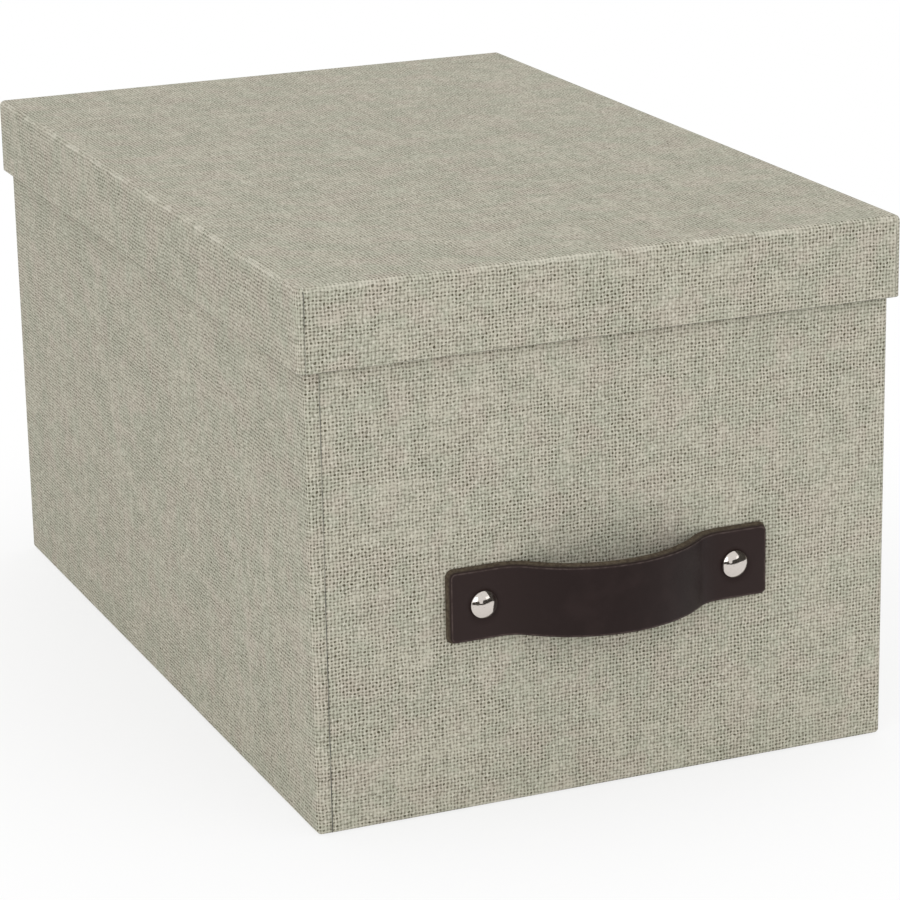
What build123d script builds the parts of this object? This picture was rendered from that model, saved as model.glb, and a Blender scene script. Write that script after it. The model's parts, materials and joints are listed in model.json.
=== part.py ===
from build123d import *
import math
import os

# A rigid storage box with a telescoping lift-off lid and a riveted pull strap on its narrow front face.
# Millimetres, +Z up. The origin is the centre of the underside, on the surface that the box stands on.
# +X runs to the right along the front, the front faces -Y, and the length runs along Y.

# ---- driving sizes: box body ----
BODY_WIDTH = 210.0            # across the front, over the covering
BODY_DEPTH = 328.0            # front to back, over the covering
BODY_HEIGHT = 183.3           # standing surface to the top of the rim
BODY_CORNER_RADIUS = 1.8      # upright corners, over the covering
BODY_FOOT_RADIUS = 1.5        # lower edge, over the covering

# ---- driving sizes: lid ----
LID_HEIGHT = 28.0             # top face to the lower edge of the skirt
LID_CLEARANCE = 0.3           # free gap a side between the skirt and the body
LID_REST_GAP = 0.1            # air between the body's rim and the lid's ceiling sheet
LID_CORNER_RADIUS = 2.3       # upright corners, over the covering
LID_TOP_RADIUS = 2.1          # edge of the top face, over the covering

# ---- sheet materials ----
BOARD = 2.0                   # grey board
COVER = 0.35                  # textured covering paper
LINING = 0.25                 # plain lining paper, also used for the underside sheet
STAY = 0.15                   # gummed paper tape on the upright board joints

# ---- how the papers are cut ----
RIM_BEVEL = 0.35              # covering where it turns over the square edge of a board
TURN_IN = 18.0                # covering turned down inside the body
TURN_UNDER = 16.0             # covering turned in under the body
UNDERSIDE_INSET = 3.0         # underside sheet short of the body's sides
LINING_DROP = 6.0             # wall lining short of the rim
CEILING_INSET = 1.0           # lid's ceiling sheet short of the skirt
STAY_REACH = 15.0             # tape reach along each face from its corner
BODY_SEAM_OFFSET = 5.0        # covering's joint on the front, from the left corner
LID_SEAM_OFFSET = 2.6         # the same on the lid's front, just past the corner round
SEAM_WIDTH = 0.3
SEAM_DEPTH = 0.2

# ---- pull strap ----
STRAP_END = 12.1              # rivet centre to the strap's end
STRAP_WIDTH = 23.6
STRAP_THICKNESS = 2.2
STRAP_END_RADIUS = 2.8        # rounded corners of its ends
STRAP_EDGE = 0.4              # bevel of its front edges
STRAP_CENTRE_HEIGHT = 72.5    # above the standing surface
STRAP_BOW = 16.3              # finger room behind the crown
BOW_START = 5.4               # rivet centre to where the strap leaves the box
BOW_FOOT_RADIUS = 17.0        # bend where the strap leaves the box

# ---- two-part cap rivets ----
RIVET_SPACING = 92.0
CAP_DIAMETER = 9.8
CAP_HEIGHT = 3.2
CAP_WALL = 0.35
CAP_LIP = 1.0                 # rim rolled in under the post's flange
CAP_PLAY = 0.3                # radial play of the post's flange in the cap
POST_RADIUS = 1.5
POST_FLANGE = 0.4
POST_HEAD_RADIUS = 2.1        # clenched end of the post
POST_HEAD = 0.3
SOCKET_WALL = 0.4
SOCKET_DIAMETER = 8.6
SOCKET_FLANGE = 0.5
CLENCH_ROOM = 0.3             # air behind the clenched end
WASHER_DIAMETER = 11.0
WASHER = 0.5
RIVET_FIT = 0.05              # radial clearance of the rivet's parts and of the holes they pass through

# ---- places worked out from the sizes above ----
STRAP_LENGTH = RIVET_SPACING + 2 * STRAP_END
BOW_HALF_SPAN = RIVET_SPACING / 2 - BOW_START
SHELL = COVER + BOARD + COVER
LID_OVERHANG = LID_CLEARANCE + SHELL
LID_WIDTH = BODY_WIDTH + 2 * LID_OVERHANG
LID_DEPTH = BODY_DEPTH + 2 * LID_OVERHANG
COVER_FOOT = LINING
BOARD_FOOT = COVER_FOOT + COVER
FLOOR_TOP = BOARD_FOOT + BOARD
BODY_BOARD_TOP = BODY_HEIGHT - COVER
CORE_WIDTH = BODY_WIDTH - 2 * COVER
CORE_DEPTH = BODY_DEPTH - 2 * COVER
INNER_WIDTH = CORE_WIDTH - 2 * BOARD
INNER_DEPTH = CORE_DEPTH - 2 * BOARD
LID_CORE_WIDTH = LID_WIDTH - 2 * COVER
LID_CORE_DEPTH = LID_DEPTH - 2 * COVER
LID_INNER_WIDTH = LID_CORE_WIDTH - 2 * BOARD
LID_INNER_DEPTH = LID_CORE_DEPTH - 2 * BOARD
CEILING = BODY_HEIGHT + LID_REST_GAP + LINING
LID_BOARD_TOP = CEILING + BOARD
LID_TOP = LID_BOARD_TOP + COVER
SKIRT_FOOT = LID_TOP - LID_HEIGHT
LID_BOARD_FOOT = SKIRT_FOOT + COVER
FRONT = -BODY_DEPTH / 2
WALL_LINING = COVER + LINING
WALL_STACK = COVER + BOARD + WALL_LINING
RIVET_XS = {"left": -RIVET_SPACING / 2, "right": RIVET_SPACING / 2}
SOCKET_BORE = POST_RADIUS + RIVET_FIT
TUBE_RADIUS = SOCKET_BORE + SOCKET_WALL
HOLE_RADIUS = TUBE_RADIUS + RIVET_FIT
WASHER_SEAT = -WALL_STACK
SOCKET_SEAT = WASHER_SEAT - WASHER
CLENCH = SOCKET_SEAT - SOCKET_FLANGE - RIVET_FIT
CAP_BASE = STRAP_THICKNESS
FLANGE_FOOT = CAP_BASE + CAP_WALL + RIVET_FIT
CAP_RIM = FLANGE_FOOT + POST_FLANGE
FAR = 2 * (LID_WIDTH + LID_DEPTH + BODY_HEIGHT)


def block(x0, x1, y0, y1, z0, z1):
    """A plain block between two corners."""
    centre = Pos((x0 + x1) / 2, (y0 + y1) / 2, (z0 + z1) / 2)
    return centre * Box(x1 - x0, y1 - y0, z1 - z0)


def centred(width, depth, z0, z1):
    """A plain block centred on the box's upright axis."""
    return block(-width / 2, width / 2, -depth / 2, depth / 2, z0, z1)


def edges_at(shape, height):
    """The edges of a shape that lie level at one height."""
    return shape.edges().filter_by_position(Axis.Z, height - 0.001, height + 0.001)


def tray(width, depth, closed, rim, corner, pocket_width, pocket_depth, pocket_end, round_edge=0, bevel_edge=0):
    """A tray with rounded corners, open at the height rim and closed at the height closed.

    The pocket runs from the rim to pocket_end. The tray opens upwards or downwards, as the heights say.
    The edge of its closed end is either rounded or bevelled.
    """
    body = centred(width, depth, min(closed, rim), max(closed, rim))
    body = fillet(body.edges().filter_by(Axis.Z), corner)
    if round_edge:
        body = fillet(edges_at(body, closed), round_edge)
    if bevel_edge:
        body = chamfer(edges_at(body, closed), bevel_edge)
    return body - centred(pocket_width, pocket_depth, min(pocket_end, rim), max(pocket_end, rim))


def bevel_under(radius):
    """The bevel of a board's edge that lies just inside a covering of this radius."""
    return (2 - math.sqrt(2)) * (radius - COVER)


def four_walls(core, core_width, core_depth, z0, z1):
    """Cut a tray of board into its front, back, left and right walls; the ends span the full width."""
    inner_x = core_width / 2 - BOARD
    inner_y = core_depth / 2 - BOARD
    return {
        "front": core & block(-FAR, FAR, -FAR, -inner_y, z0, z1),
        "back": core & block(-FAR, FAR, inner_y, FAR, z0, z1),
        "left": core & block(-FAR, -inner_x, -inner_y, inner_y, z0, z1),
        "right": core & block(inner_x, FAR, -inner_y, inner_y, z0, z1),
    }


def corner_stays(core_width, core_depth, corner, z0, z1):
    """Four strips of tape, each folded round one upright corner of the boards."""
    outside = centred(core_width + 2 * STAY, core_depth + 2 * STAY, z0, z1)
    outside = fillet(outside.edges().filter_by(Axis.Z), corner + STAY)
    inside = centred(core_width, core_depth, z0, z1)
    inside = fillet(inside.edges().filter_by(Axis.Z), corner)
    sleeve = outside - inside
    strips = []
    for side in (-1, 1):
        for end in (-1, 1):
            x_edge = side * (core_width / 2 - STAY_REACH)
            y_edge = end * (core_depth / 2 - STAY_REACH)
            x_low, x_high = sorted((x_edge, side * FAR))
            y_low, y_high = sorted((y_edge, end * FAR))
            strips.append(sleeve & block(x_low, x_high, y_low, y_high, z0, z1))
    return Compound(children=[strip.solids()[0] for strip in strips])


def front_bore(x, radius):
    """A round hole through the front wall and the strap, on a rivet's axis."""
    return Plane((x, FRONT, STRAP_CENTRE_HEIGHT), z_dir=(0, -1, 0)) * Cylinder(radius, 8 * STRAP_THICKNESS)


def drill_front(piece, radius):
    """Drill both rivet holes through a piece of the front wall or the strap."""
    for x in RIVET_XS.values():
        piece -= front_bore(x, radius)
    return piece


# ---- box body ----
def make_body_boards():
    """The floor and four walls of grey board, with rounded corners and a bevelled foot."""
    core = tray(
        CORE_WIDTH, CORE_DEPTH, BOARD_FOOT, BODY_BOARD_TOP,
        BODY_CORNER_RADIUS - COVER, INNER_WIDTH, INNER_DEPTH, FLOOR_TOP,
        bevel_edge=bevel_under(BODY_FOOT_RADIUS),
    )
    walls = four_walls(core, CORE_WIDTH, CORE_DEPTH, BOARD_FOOT, BODY_BOARD_TOP)
    walls["front"] = drill_front(walls["front"], HOLE_RADIUS)
    boards = {f"body_{side}_board": wall for side, wall in walls.items()}
    boards["body_floor_board"] = centred(INNER_WIDTH, INNER_DEPTH, BOARD_FOOT, FLOOR_TOP)
    return boards


def make_body_stays():
    """Tape on the body's upright corners, between the boards and the covering."""
    low = BOARD_FOOT + BODY_FOOT_RADIUS
    high = BODY_BOARD_TOP - RIM_BEVEL
    return corner_stays(CORE_WIDTH, CORE_DEPTH, BODY_CORNER_RADIUS - COVER, low, high)


def make_body_cover(stays):
    """The covering: round four sides, turned in over the rim and turned under the floor."""
    turn_end = BODY_HEIGHT - TURN_IN
    outside = tray(
        BODY_WIDTH, BODY_DEPTH, COVER_FOOT, BODY_HEIGHT,
        BODY_CORNER_RADIUS, INNER_WIDTH - 2 * COVER, INNER_DEPTH - 2 * COVER, turn_end,
        round_edge=BODY_FOOT_RADIUS,
    )
    outside = chamfer(edges_at(outside, BODY_HEIGHT), RIM_BEVEL)
    inside = tray(
        CORE_WIDTH, CORE_DEPTH, BOARD_FOOT, BODY_BOARD_TOP,
        BODY_CORNER_RADIUS - COVER, INNER_WIDTH, INNER_DEPTH, turn_end,
        bevel_edge=bevel_under(BODY_FOOT_RADIUS),
    )
    cover = outside - inside - stays
    cover -= centred(BODY_WIDTH - 2 * TURN_UNDER, BODY_DEPTH - 2 * TURN_UNDER, COVER_FOOT, BOARD_FOOT)
    seam = -BODY_WIDTH / 2 + BODY_SEAM_OFFSET
    groove_top = BODY_HEIGHT - RIM_BEVEL
    cover -= block(seam, seam + SEAM_WIDTH, FRONT, FRONT + SEAM_DEPTH, BODY_FOOT_RADIUS, groove_top)
    return drill_front(cover, HOLE_RADIUS)


def make_underside_sheet():
    """The sheet that covers the turned-under edges, pressed flat against the floor board between them."""
    sheet = centred(BODY_WIDTH - 2 * UNDERSIDE_INSET, BODY_DEPTH - 2 * UNDERSIDE_INSET, 0, LINING)
    return sheet + centred(BODY_WIDTH - 2 * TURN_UNDER, BODY_DEPTH - 2 * TURN_UNDER, 0, BOARD_FOOT)


def make_floor_lining():
    """The sheet on the floor inside."""
    return centred(INNER_WIDTH, INNER_DEPTH, FLOOR_TOP, FLOOR_TOP + LINING)


def make_wall_lining(cover):
    """The strip round the four walls inside, lapped over the turned-in covering."""
    low = FLOOR_TOP + LINING
    high = BODY_HEIGHT - LINING_DROP
    strip = centred(INNER_WIDTH, INNER_DEPTH, low, high)
    strip -= centred(INNER_WIDTH - 2 * WALL_LINING, INNER_DEPTH - 2 * WALL_LINING, low, high)
    return drill_front(strip - cover, HOLE_RADIUS)


# ---- lid ----
def make_lid_boards():
    """The top and four skirt boards; the top lies over the skirt and its edge is bevelled."""
    core = tray(
        LID_CORE_WIDTH, LID_CORE_DEPTH, LID_BOARD_TOP, LID_BOARD_FOOT,
        LID_CORNER_RADIUS - COVER, LID_INNER_WIDTH, LID_INNER_DEPTH, CEILING,
        bevel_edge=bevel_under(LID_TOP_RADIUS),
    )
    walls = four_walls(core, LID_CORE_WIDTH, LID_CORE_DEPTH, LID_BOARD_FOOT, CEILING)
    boards = {f"lid_{side}_board": wall for side, wall in walls.items()}
    boards["lid_top_board"] = core & block(-FAR, FAR, -FAR, FAR, CEILING, LID_BOARD_TOP)
    return boards


def make_lid_stays():
    """Tape on the skirt's upright corners, between the boards and the covering."""
    low = LID_BOARD_FOOT + RIM_BEVEL
    high = LID_BOARD_TOP - LID_TOP_RADIUS
    return corner_stays(LID_CORE_WIDTH, LID_CORE_DEPTH, LID_CORNER_RADIUS - COVER, low, high)


def make_lid_cover(stays):
    """The covering of the lid, turned in over the skirt's lower edge and up to the ceiling."""
    outside = tray(
        LID_WIDTH, LID_DEPTH, LID_TOP, SKIRT_FOOT,
        LID_CORNER_RADIUS, LID_INNER_WIDTH - 2 * COVER, LID_INNER_DEPTH - 2 * COVER, CEILING,
        round_edge=LID_TOP_RADIUS,
    )
    outside = chamfer(edges_at(outside, SKIRT_FOOT), RIM_BEVEL)
    inside = tray(
        LID_CORE_WIDTH, LID_CORE_DEPTH, LID_BOARD_TOP, LID_BOARD_FOOT,
        LID_CORNER_RADIUS - COVER, LID_INNER_WIDTH, LID_INNER_DEPTH, CEILING,
        bevel_edge=bevel_under(LID_TOP_RADIUS),
    )
    cover = outside - inside - stays
    seam = -LID_WIDTH / 2 + LID_SEAM_OFFSET
    face = -LID_DEPTH / 2
    groove_top = LID_TOP - LID_TOP_RADIUS
    cover -= block(seam, seam + SEAM_WIDTH, face, face + SEAM_DEPTH, SKIRT_FOOT + RIM_BEVEL, groove_top)
    return cover


def make_lid_lining():
    """The sheet on the ceiling of the lid, which rests on the body's rim."""
    inset = 2 * (COVER + CEILING_INSET)
    return centred(LID_INNER_WIDTH - inset, LID_INNER_DEPTH - inset, CEILING - LINING, CEILING)


# ---- pull strap and its rivets ----
def bow_line(offset):
    """One face of the strap seen from above, at a distance from its back face.

    Two foot bends and one crown arc, all tangent: the three radii and the span fix the bow's height.
    """
    radii = (BOW_HALF_SPAN**2 + STRAP_BOW**2) / (2 * STRAP_BOW)
    turn = math.asin(BOW_HALF_SPAN / radii)
    foot = BOW_FOOT_RADIUS - offset
    out = FRONT - BOW_FOOT_RADIUS
    level = FRONT - offset
    edges = []
    joints = {}
    for side in (-1, 1):
        start = (side * BOW_HALF_SPAN, level)
        middle = (side * (BOW_HALF_SPAN - foot * math.sin(turn / 2)), out + foot * math.cos(turn / 2))
        joints[side] = (side * (BOW_HALF_SPAN - foot * math.sin(turn)), out + foot * math.cos(turn))
        edges.append(Line((side * STRAP_LENGTH / 2, level), start))
        edges.append(ThreePointArc(start, middle, joints[side]))
    edges.append(ThreePointArc(joints[-1], (0, level - STRAP_BOW), joints[1]))
    return edges


def on_front_face(edge):
    """Whether an edge lies along the strap's front face, by the heights of its ends and its middle."""
    front = Wire(bow_line(STRAP_THICKNESS))
    spots = [edge @ 0, edge @ 0.5, edge @ 1]
    return all(front.distance_to(Vertex(spot.X, spot.Y, 0)) < 0.01 for spot in spots)


def make_strap():
    """The leather strap: flat under its rivets and bowed out between them."""
    ends = []
    for x in (-STRAP_LENGTH / 2, STRAP_LENGTH / 2):
        ends.append(Line((x, FRONT), (x, FRONT - STRAP_THICKNESS)))
    section = make_face(Wire([*bow_line(0), *ends, *bow_line(STRAP_THICKNESS)]))
    low = STRAP_CENTRE_HEIGHT - STRAP_WIDTH / 2
    strap = extrude(Pos(0, 0, low) * section, STRAP_WIDTH, dir=(0, 0, 1))
    outline = RectangleRounded(STRAP_LENGTH, STRAP_WIDTH, STRAP_END_RADIUS)
    face = Plane((0, FRONT, STRAP_CENTRE_HEIGHT), x_dir=(1, 0, 0), z_dir=(0, -1, 0))
    strap &= extrude(face * outline, 2 * (STRAP_BOW + STRAP_THICKNESS), both=True)
    front_edges = [edge for edge in strap.edges() if on_front_face(edge)]
    strap = chamfer(front_edges, STRAP_EDGE)
    return drill_front(strap, SOCKET_BORE)


def dome_solid(radius, foot, top):
    """A solid of revolution under a dome that springs at foot and peaks at top."""
    rise = top - foot
    sphere = (radius**2 + rise**2) / (2 * rise)
    half = math.asin(radius / sphere) / 2
    middle = (sphere * math.sin(half), top - sphere + sphere * math.cos(half))
    lines = [
        Line((0, foot), (radius, foot)),
        ThreePointArc((radius, foot), middle, (0, top)),
        Line((0, top), (0, foot)),
    ]
    return revolve(Plane.XZ * make_face(Wire(lines)), Axis.Z)


def frustum(radius, end_radius, z0, z1):
    """A round solid about the rivet's axis that narrows from one height to another."""
    return Pos(0, 0, (z0 + z1) / 2) * Cone(radius, end_radius, z1 - z0)


def ring(radius, bore, z0, z1):
    """A round plate or tube about the rivet's axis, with a bore of zero for a solid one."""
    body = Pos(0, 0, (z0 + z1) / 2) * Cylinder(radius, z1 - z0)
    if bore:
        body -= Pos(0, 0, (z0 + z1) / 2) * Cylinder(bore, z1 - z0)
    return body


def make_cap():
    """The domed cap, its rim rolled in under the post's flange."""
    radius = CAP_DIAMETER / 2
    inner = radius - CAP_WALL
    outside = ring(radius, 0, CAP_BASE, CAP_RIM) + dome_solid(radius, CAP_RIM, CAP_BASE + CAP_HEIGHT)
    recess = ring(inner, 0, CAP_BASE + CAP_WALL, CAP_RIM)
    return outside - recess - ring(radius - CAP_LIP, 0, CAP_BASE, CAP_BASE + CAP_WALL)


def make_post():
    """The post: a flange held in the cap, a plain shank and the clenched end."""
    flange = ring(CAP_DIAMETER / 2 - CAP_WALL - CAP_PLAY, 0, FLANGE_FOOT, FLANGE_FOOT + POST_FLANGE)
    shank = ring(POST_RADIUS, 0, CLENCH, FLANGE_FOOT)
    return flange + shank + ring(POST_HEAD_RADIUS, 0, CLENCH - POST_HEAD, CLENCH)


def make_socket():
    """The socket inside the box: a tube for the post, a flange and a raised back."""
    radius = SOCKET_DIAMETER / 2
    flange_end = SOCKET_SEAT - SOCKET_FLANGE
    pocket_end = CLENCH - POST_HEAD - CLENCH_ROOM
    slope = flange_end - pocket_end + SOCKET_WALL
    back = frustum(radius - slope, radius, pocket_end - SOCKET_WALL, flange_end)
    pocket = ring(radius - slope - SOCKET_WALL, 0, pocket_end, flange_end)
    flange = ring(radius, 0, flange_end, SOCKET_SEAT)
    tube = ring(TUBE_RADIUS, 0, SOCKET_SEAT, -COVER)
    return flange + back + tube - pocket - ring(SOCKET_BORE, 0, flange_end, -COVER)


def make_washer():
    """The flat washer between the wall lining and the socket."""
    return ring(WASHER_DIAMETER / 2, HOLE_RADIUS, SOCKET_SEAT, WASHER_SEAT)


def make_rivets():
    """Both rivets, each of four pieces set on its own axis through the front wall."""
    pieces = {}
    makers = {"cap": make_cap, "post": make_post, "socket": make_socket, "washer": make_washer}
    for side, x in RIVET_XS.items():
        axis = Plane((x, FRONT, STRAP_CENTRE_HEIGHT), x_dir=(1, 0, 0), z_dir=(0, -1, 0))
        for name, maker in makers.items():
            pieces[f"rivet_{name}_{side}"] = axis * maker()
    return pieces


def make_box():
    """Every piece of the box, by name."""
    body_stays = make_body_stays()
    body_cover = make_body_cover(body_stays)
    lid_stays = make_lid_stays()
    return {
        **make_body_boards(),
        "body_corner_stays": body_stays,
        "body_cover": body_cover,
        "body_underside_sheet": make_underside_sheet(),
        "body_floor_lining": make_floor_lining(),
        "body_wall_lining": make_wall_lining(body_cover),
        "pull_strap": make_strap(),
        **make_rivets(),
        **make_lid_boards(),
        "lid_corner_stays": lid_stays,
        "lid_cover": make_lid_cover(lid_stays),
        "lid_ceiling_lining": make_lid_lining(),
    }


os.makedirs("parts", exist_ok=True)
for node, piece in make_box().items():
    export_step(piece, f"parts/{node}.step")
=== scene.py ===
"""Looks of a paper-covered storage box with a lift-off lid and a riveted leather pull strap."""
import json
import logging
import math
from dataclasses import dataclass, field
from enum import Enum

import bmesh
import bpy
import numpy as np
from mathutils import Matrix, Vector


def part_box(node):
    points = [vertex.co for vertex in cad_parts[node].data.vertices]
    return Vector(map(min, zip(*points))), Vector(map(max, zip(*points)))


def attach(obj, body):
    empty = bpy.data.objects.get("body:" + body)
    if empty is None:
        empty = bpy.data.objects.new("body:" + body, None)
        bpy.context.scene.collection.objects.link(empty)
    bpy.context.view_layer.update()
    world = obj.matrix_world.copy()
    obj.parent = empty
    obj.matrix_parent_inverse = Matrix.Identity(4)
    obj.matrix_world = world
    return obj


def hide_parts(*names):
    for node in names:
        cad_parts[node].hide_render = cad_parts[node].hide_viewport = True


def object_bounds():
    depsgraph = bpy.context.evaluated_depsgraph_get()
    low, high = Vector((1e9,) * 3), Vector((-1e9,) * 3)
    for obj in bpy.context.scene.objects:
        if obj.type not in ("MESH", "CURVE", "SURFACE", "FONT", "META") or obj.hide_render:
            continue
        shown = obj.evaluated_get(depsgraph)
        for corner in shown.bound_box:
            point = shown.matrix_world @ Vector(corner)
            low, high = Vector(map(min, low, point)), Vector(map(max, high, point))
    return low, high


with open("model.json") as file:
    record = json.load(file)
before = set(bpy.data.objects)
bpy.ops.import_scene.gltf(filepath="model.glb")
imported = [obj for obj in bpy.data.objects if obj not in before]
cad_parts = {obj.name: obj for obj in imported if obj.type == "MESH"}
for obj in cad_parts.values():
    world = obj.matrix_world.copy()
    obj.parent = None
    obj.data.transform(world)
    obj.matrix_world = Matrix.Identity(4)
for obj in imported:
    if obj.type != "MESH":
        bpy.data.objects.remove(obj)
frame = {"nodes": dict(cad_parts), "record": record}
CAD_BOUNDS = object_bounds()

LOG = logging.getLogger("storage_box")
MM = 0.001
MERGE_REACH = 1e-7
FLAT_REACH = 1e-8
TINY = 1e-9
WEAVE_MAP = "weave"
EDGE_MAP = "edge"
# The joint mark also carries a painted shade line along the fold at the lid's rim.
JOINT_AND_SHADE_MAP = "joint_and_shade"
CUT_MAP = "cut"
Node = bpy.types.Node
Socket = bpy.types.NodeSocket
Pair = tuple[float, float]
Colour = tuple[float, float, float]
Number = Socket | float
Paint = Socket | Colour


class Body(str, Enum):
    """The two bodies that pieces ride on."""

    BOX = "body"
    LID = "lid"


# ---------------------------------------------------------------- meshes


def curve_points(centre: Pair, radius: float, start: float, end: float, count: int) -> np.ndarray:
    """Sample a circular arc: the centre plus the radius turned from one angle to another, in degrees.

    Args:
        centre: Centre of the arc in the profile's plane.
        radius: Radius of the arc.
        start: First angle.
        end: Last angle.
        count: Number of points.

    Returns:
        An array of shape (count, 2).
    """
    turn = np.radians(np.linspace(start, end, count))
    return np.array(centre) + radius * np.stack([np.cos(turn), np.sin(turn)], axis=1)


def straight_points(start: Pair, end: Pair, count: int) -> np.ndarray:
    """Sample a straight line evenly, ends included.

    Args:
        start: First point.
        end: Last point.
        count: Number of points.

    Returns:
        An array of shape (count, 2).
    """
    share = np.linspace(0.0, 1.0, count)[:, None]
    return (1 - share) * np.array(start) + share * np.array(end)


def run_lengths(points: np.ndarray) -> np.ndarray:
    """Distance run along a line of points, zero at the first."""
    steps = np.linalg.norm(np.diff(points, axis=0), axis=1)
    return np.concatenate([[0.0], np.cumsum(steps)])


def smooth_step(value: np.ndarray) -> np.ndarray:
    """Ease from 0 to 1: three times the square less twice the cube, of the value held to 0..1."""
    held = np.clip(value, 0.0, 1.0)
    return held * held * (3 - 2 * held)


def gentle_waves(first: np.ndarray, second: np.ndarray, seed: int, wavelength: float) -> np.ndarray:
    """Smooth unevenness between -1 and 1: the mean of eight sine waves that run in seeded directions.

    Their lengths are 0.6 to 1.6 times the middle one, and the mean is enlarged to fill most of the range.

    Args:
        first: First coordinate, in metres.
        second: Second coordinate, of the same or a matching shape.
        seed: Seed of the directions and phases.
        wavelength: Middle length of the waves.

    Returns:
        Array of the shape of both coordinates together.
    """
    waves, shortest, enlarged = 8, 0.6, 1.6
    chance = np.random.default_rng(seed)
    total = np.zeros(np.broadcast(first, second).shape)
    for angle, phase, stretch in chance.random((waves, 3)):
        turn = angle * 2 * np.pi
        rate = 2 * np.pi / (wavelength * (shortest + stretch))
        total += np.sin(rate * (np.cos(turn) * first + np.sin(turn) * second) + phase * 2 * np.pi)
    return np.clip(total / waves * enlarged, -1.0, 1.0)


@dataclass
class RingMesh:
    """A closed surface of stacked rings: row i, column j is a point, and each row closes on itself.

    Attributes:
        points: Array of shape (rows, columns, 3), in metres.
        sheet: Array of shape (rows, columns + 1, 2), the flat place of each point on its own sheet.
        loop: Whether the last row joins the first, as on a profile that closes.
        poles: Whether the first and the last row are small rings round an axis, to be filled.
    """

    points: np.ndarray
    sheet: np.ndarray
    loop: bool = True
    poles: bool = False

    def cells(self) -> tuple[np.ndarray, np.ndarray, np.ndarray]:
        """The cells of the grid.

        Returns:
            The number of each cell's upper row and of the row below it, both upright, and of each column.
        """
        rows, columns = self.points.shape[:2]
        upper = np.arange(rows if self.loop else rows - 1)[:, None]
        return upper, (upper + 1) % rows, np.arange(columns)[None, :]

    def faces(self) -> np.ndarray:
        """Corners of the four-sided faces.

        Returns:
            Array of shape (faces, 4), the number of each corner's point.
        """
        upper, lower, across = self.cells()
        columns = self.points.shape[1]
        after = (across + 1) % columns
        corners = [upper * columns + across, upper * columns + after]
        corners += [lower * columns + after, lower * columns + across]
        return np.stack(np.broadcast_arrays(*corners), axis=-1).reshape(-1, 4)

    def face_sheet(self) -> np.ndarray:
        """Flat places of each face's four corners.

        Returns:
            Array of shape (faces * 4, 2).
        """
        upper, lower, across = self.cells()
        corners = [self.sheet[upper, across], self.sheet[upper, across + 1]]
        corners += [self.sheet[lower, across + 1], self.sheet[lower, across]]
        return np.stack(corners, axis=2).reshape(-1, 2)

    def build(self, name: str, marks: dict[str, np.ndarray] | None = None) -> bpy.types.Object:
        """Make the Blender object, with its flat places and marks for the finish.

        Args:
            name: Name of the piece.
            marks: Numbers for the finish to read, each an array that fits (rows, columns), by their names.

        Returns:
            The new object, at the origin.
        """
        mesh = bpy.data.meshes.new(name)
        mesh.from_pydata(self.points.reshape(-1, 3).tolist(), [], self.faces().tolist())
        layer = mesh.uv_layers.new(name=WEAVE_MAP)
        layer.data.foreach_set("uv", self.face_sheet().astype(np.float32).ravel())
        for mark, numbers in (marks or {}).items():
            layer = mesh.attributes.new(mark, "FLOAT", "POINT")
            spread = np.broadcast_to(numbers, self.points.shape[:2])
            layer.data.foreach_set("value", spread.astype(np.float32).ravel())
        self.clean(mesh)
        piece = bpy.data.objects.new(name, mesh)
        bpy.context.scene.collection.objects.link(piece)
        return piece

    def clean(self, mesh: bpy.types.Mesh) -> None:
        """Merge doubles, fill the poles, turn the faces outward and shade them smooth.

        Args:
            mesh: The mesh to clean, in place.
        """
        work = bmesh.new()
        work.from_mesh(mesh)
        bmesh.ops.remove_doubles(work, verts=work.verts, dist=MERGE_REACH)
        bmesh.ops.dissolve_degenerate(work, edges=work.edges, dist=FLAT_REACH)
        if self.poles:
            bmesh.ops.holes_fill(work, edges=work.edges, sides=0)
        bmesh.ops.recalc_face_normals(work, faces=work.faces)
        work.to_mesh(mesh)
        work.free()
        mesh.polygons.foreach_set("use_smooth", np.ones(len(mesh.polygons), bool))
        mesh.validate()


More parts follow.
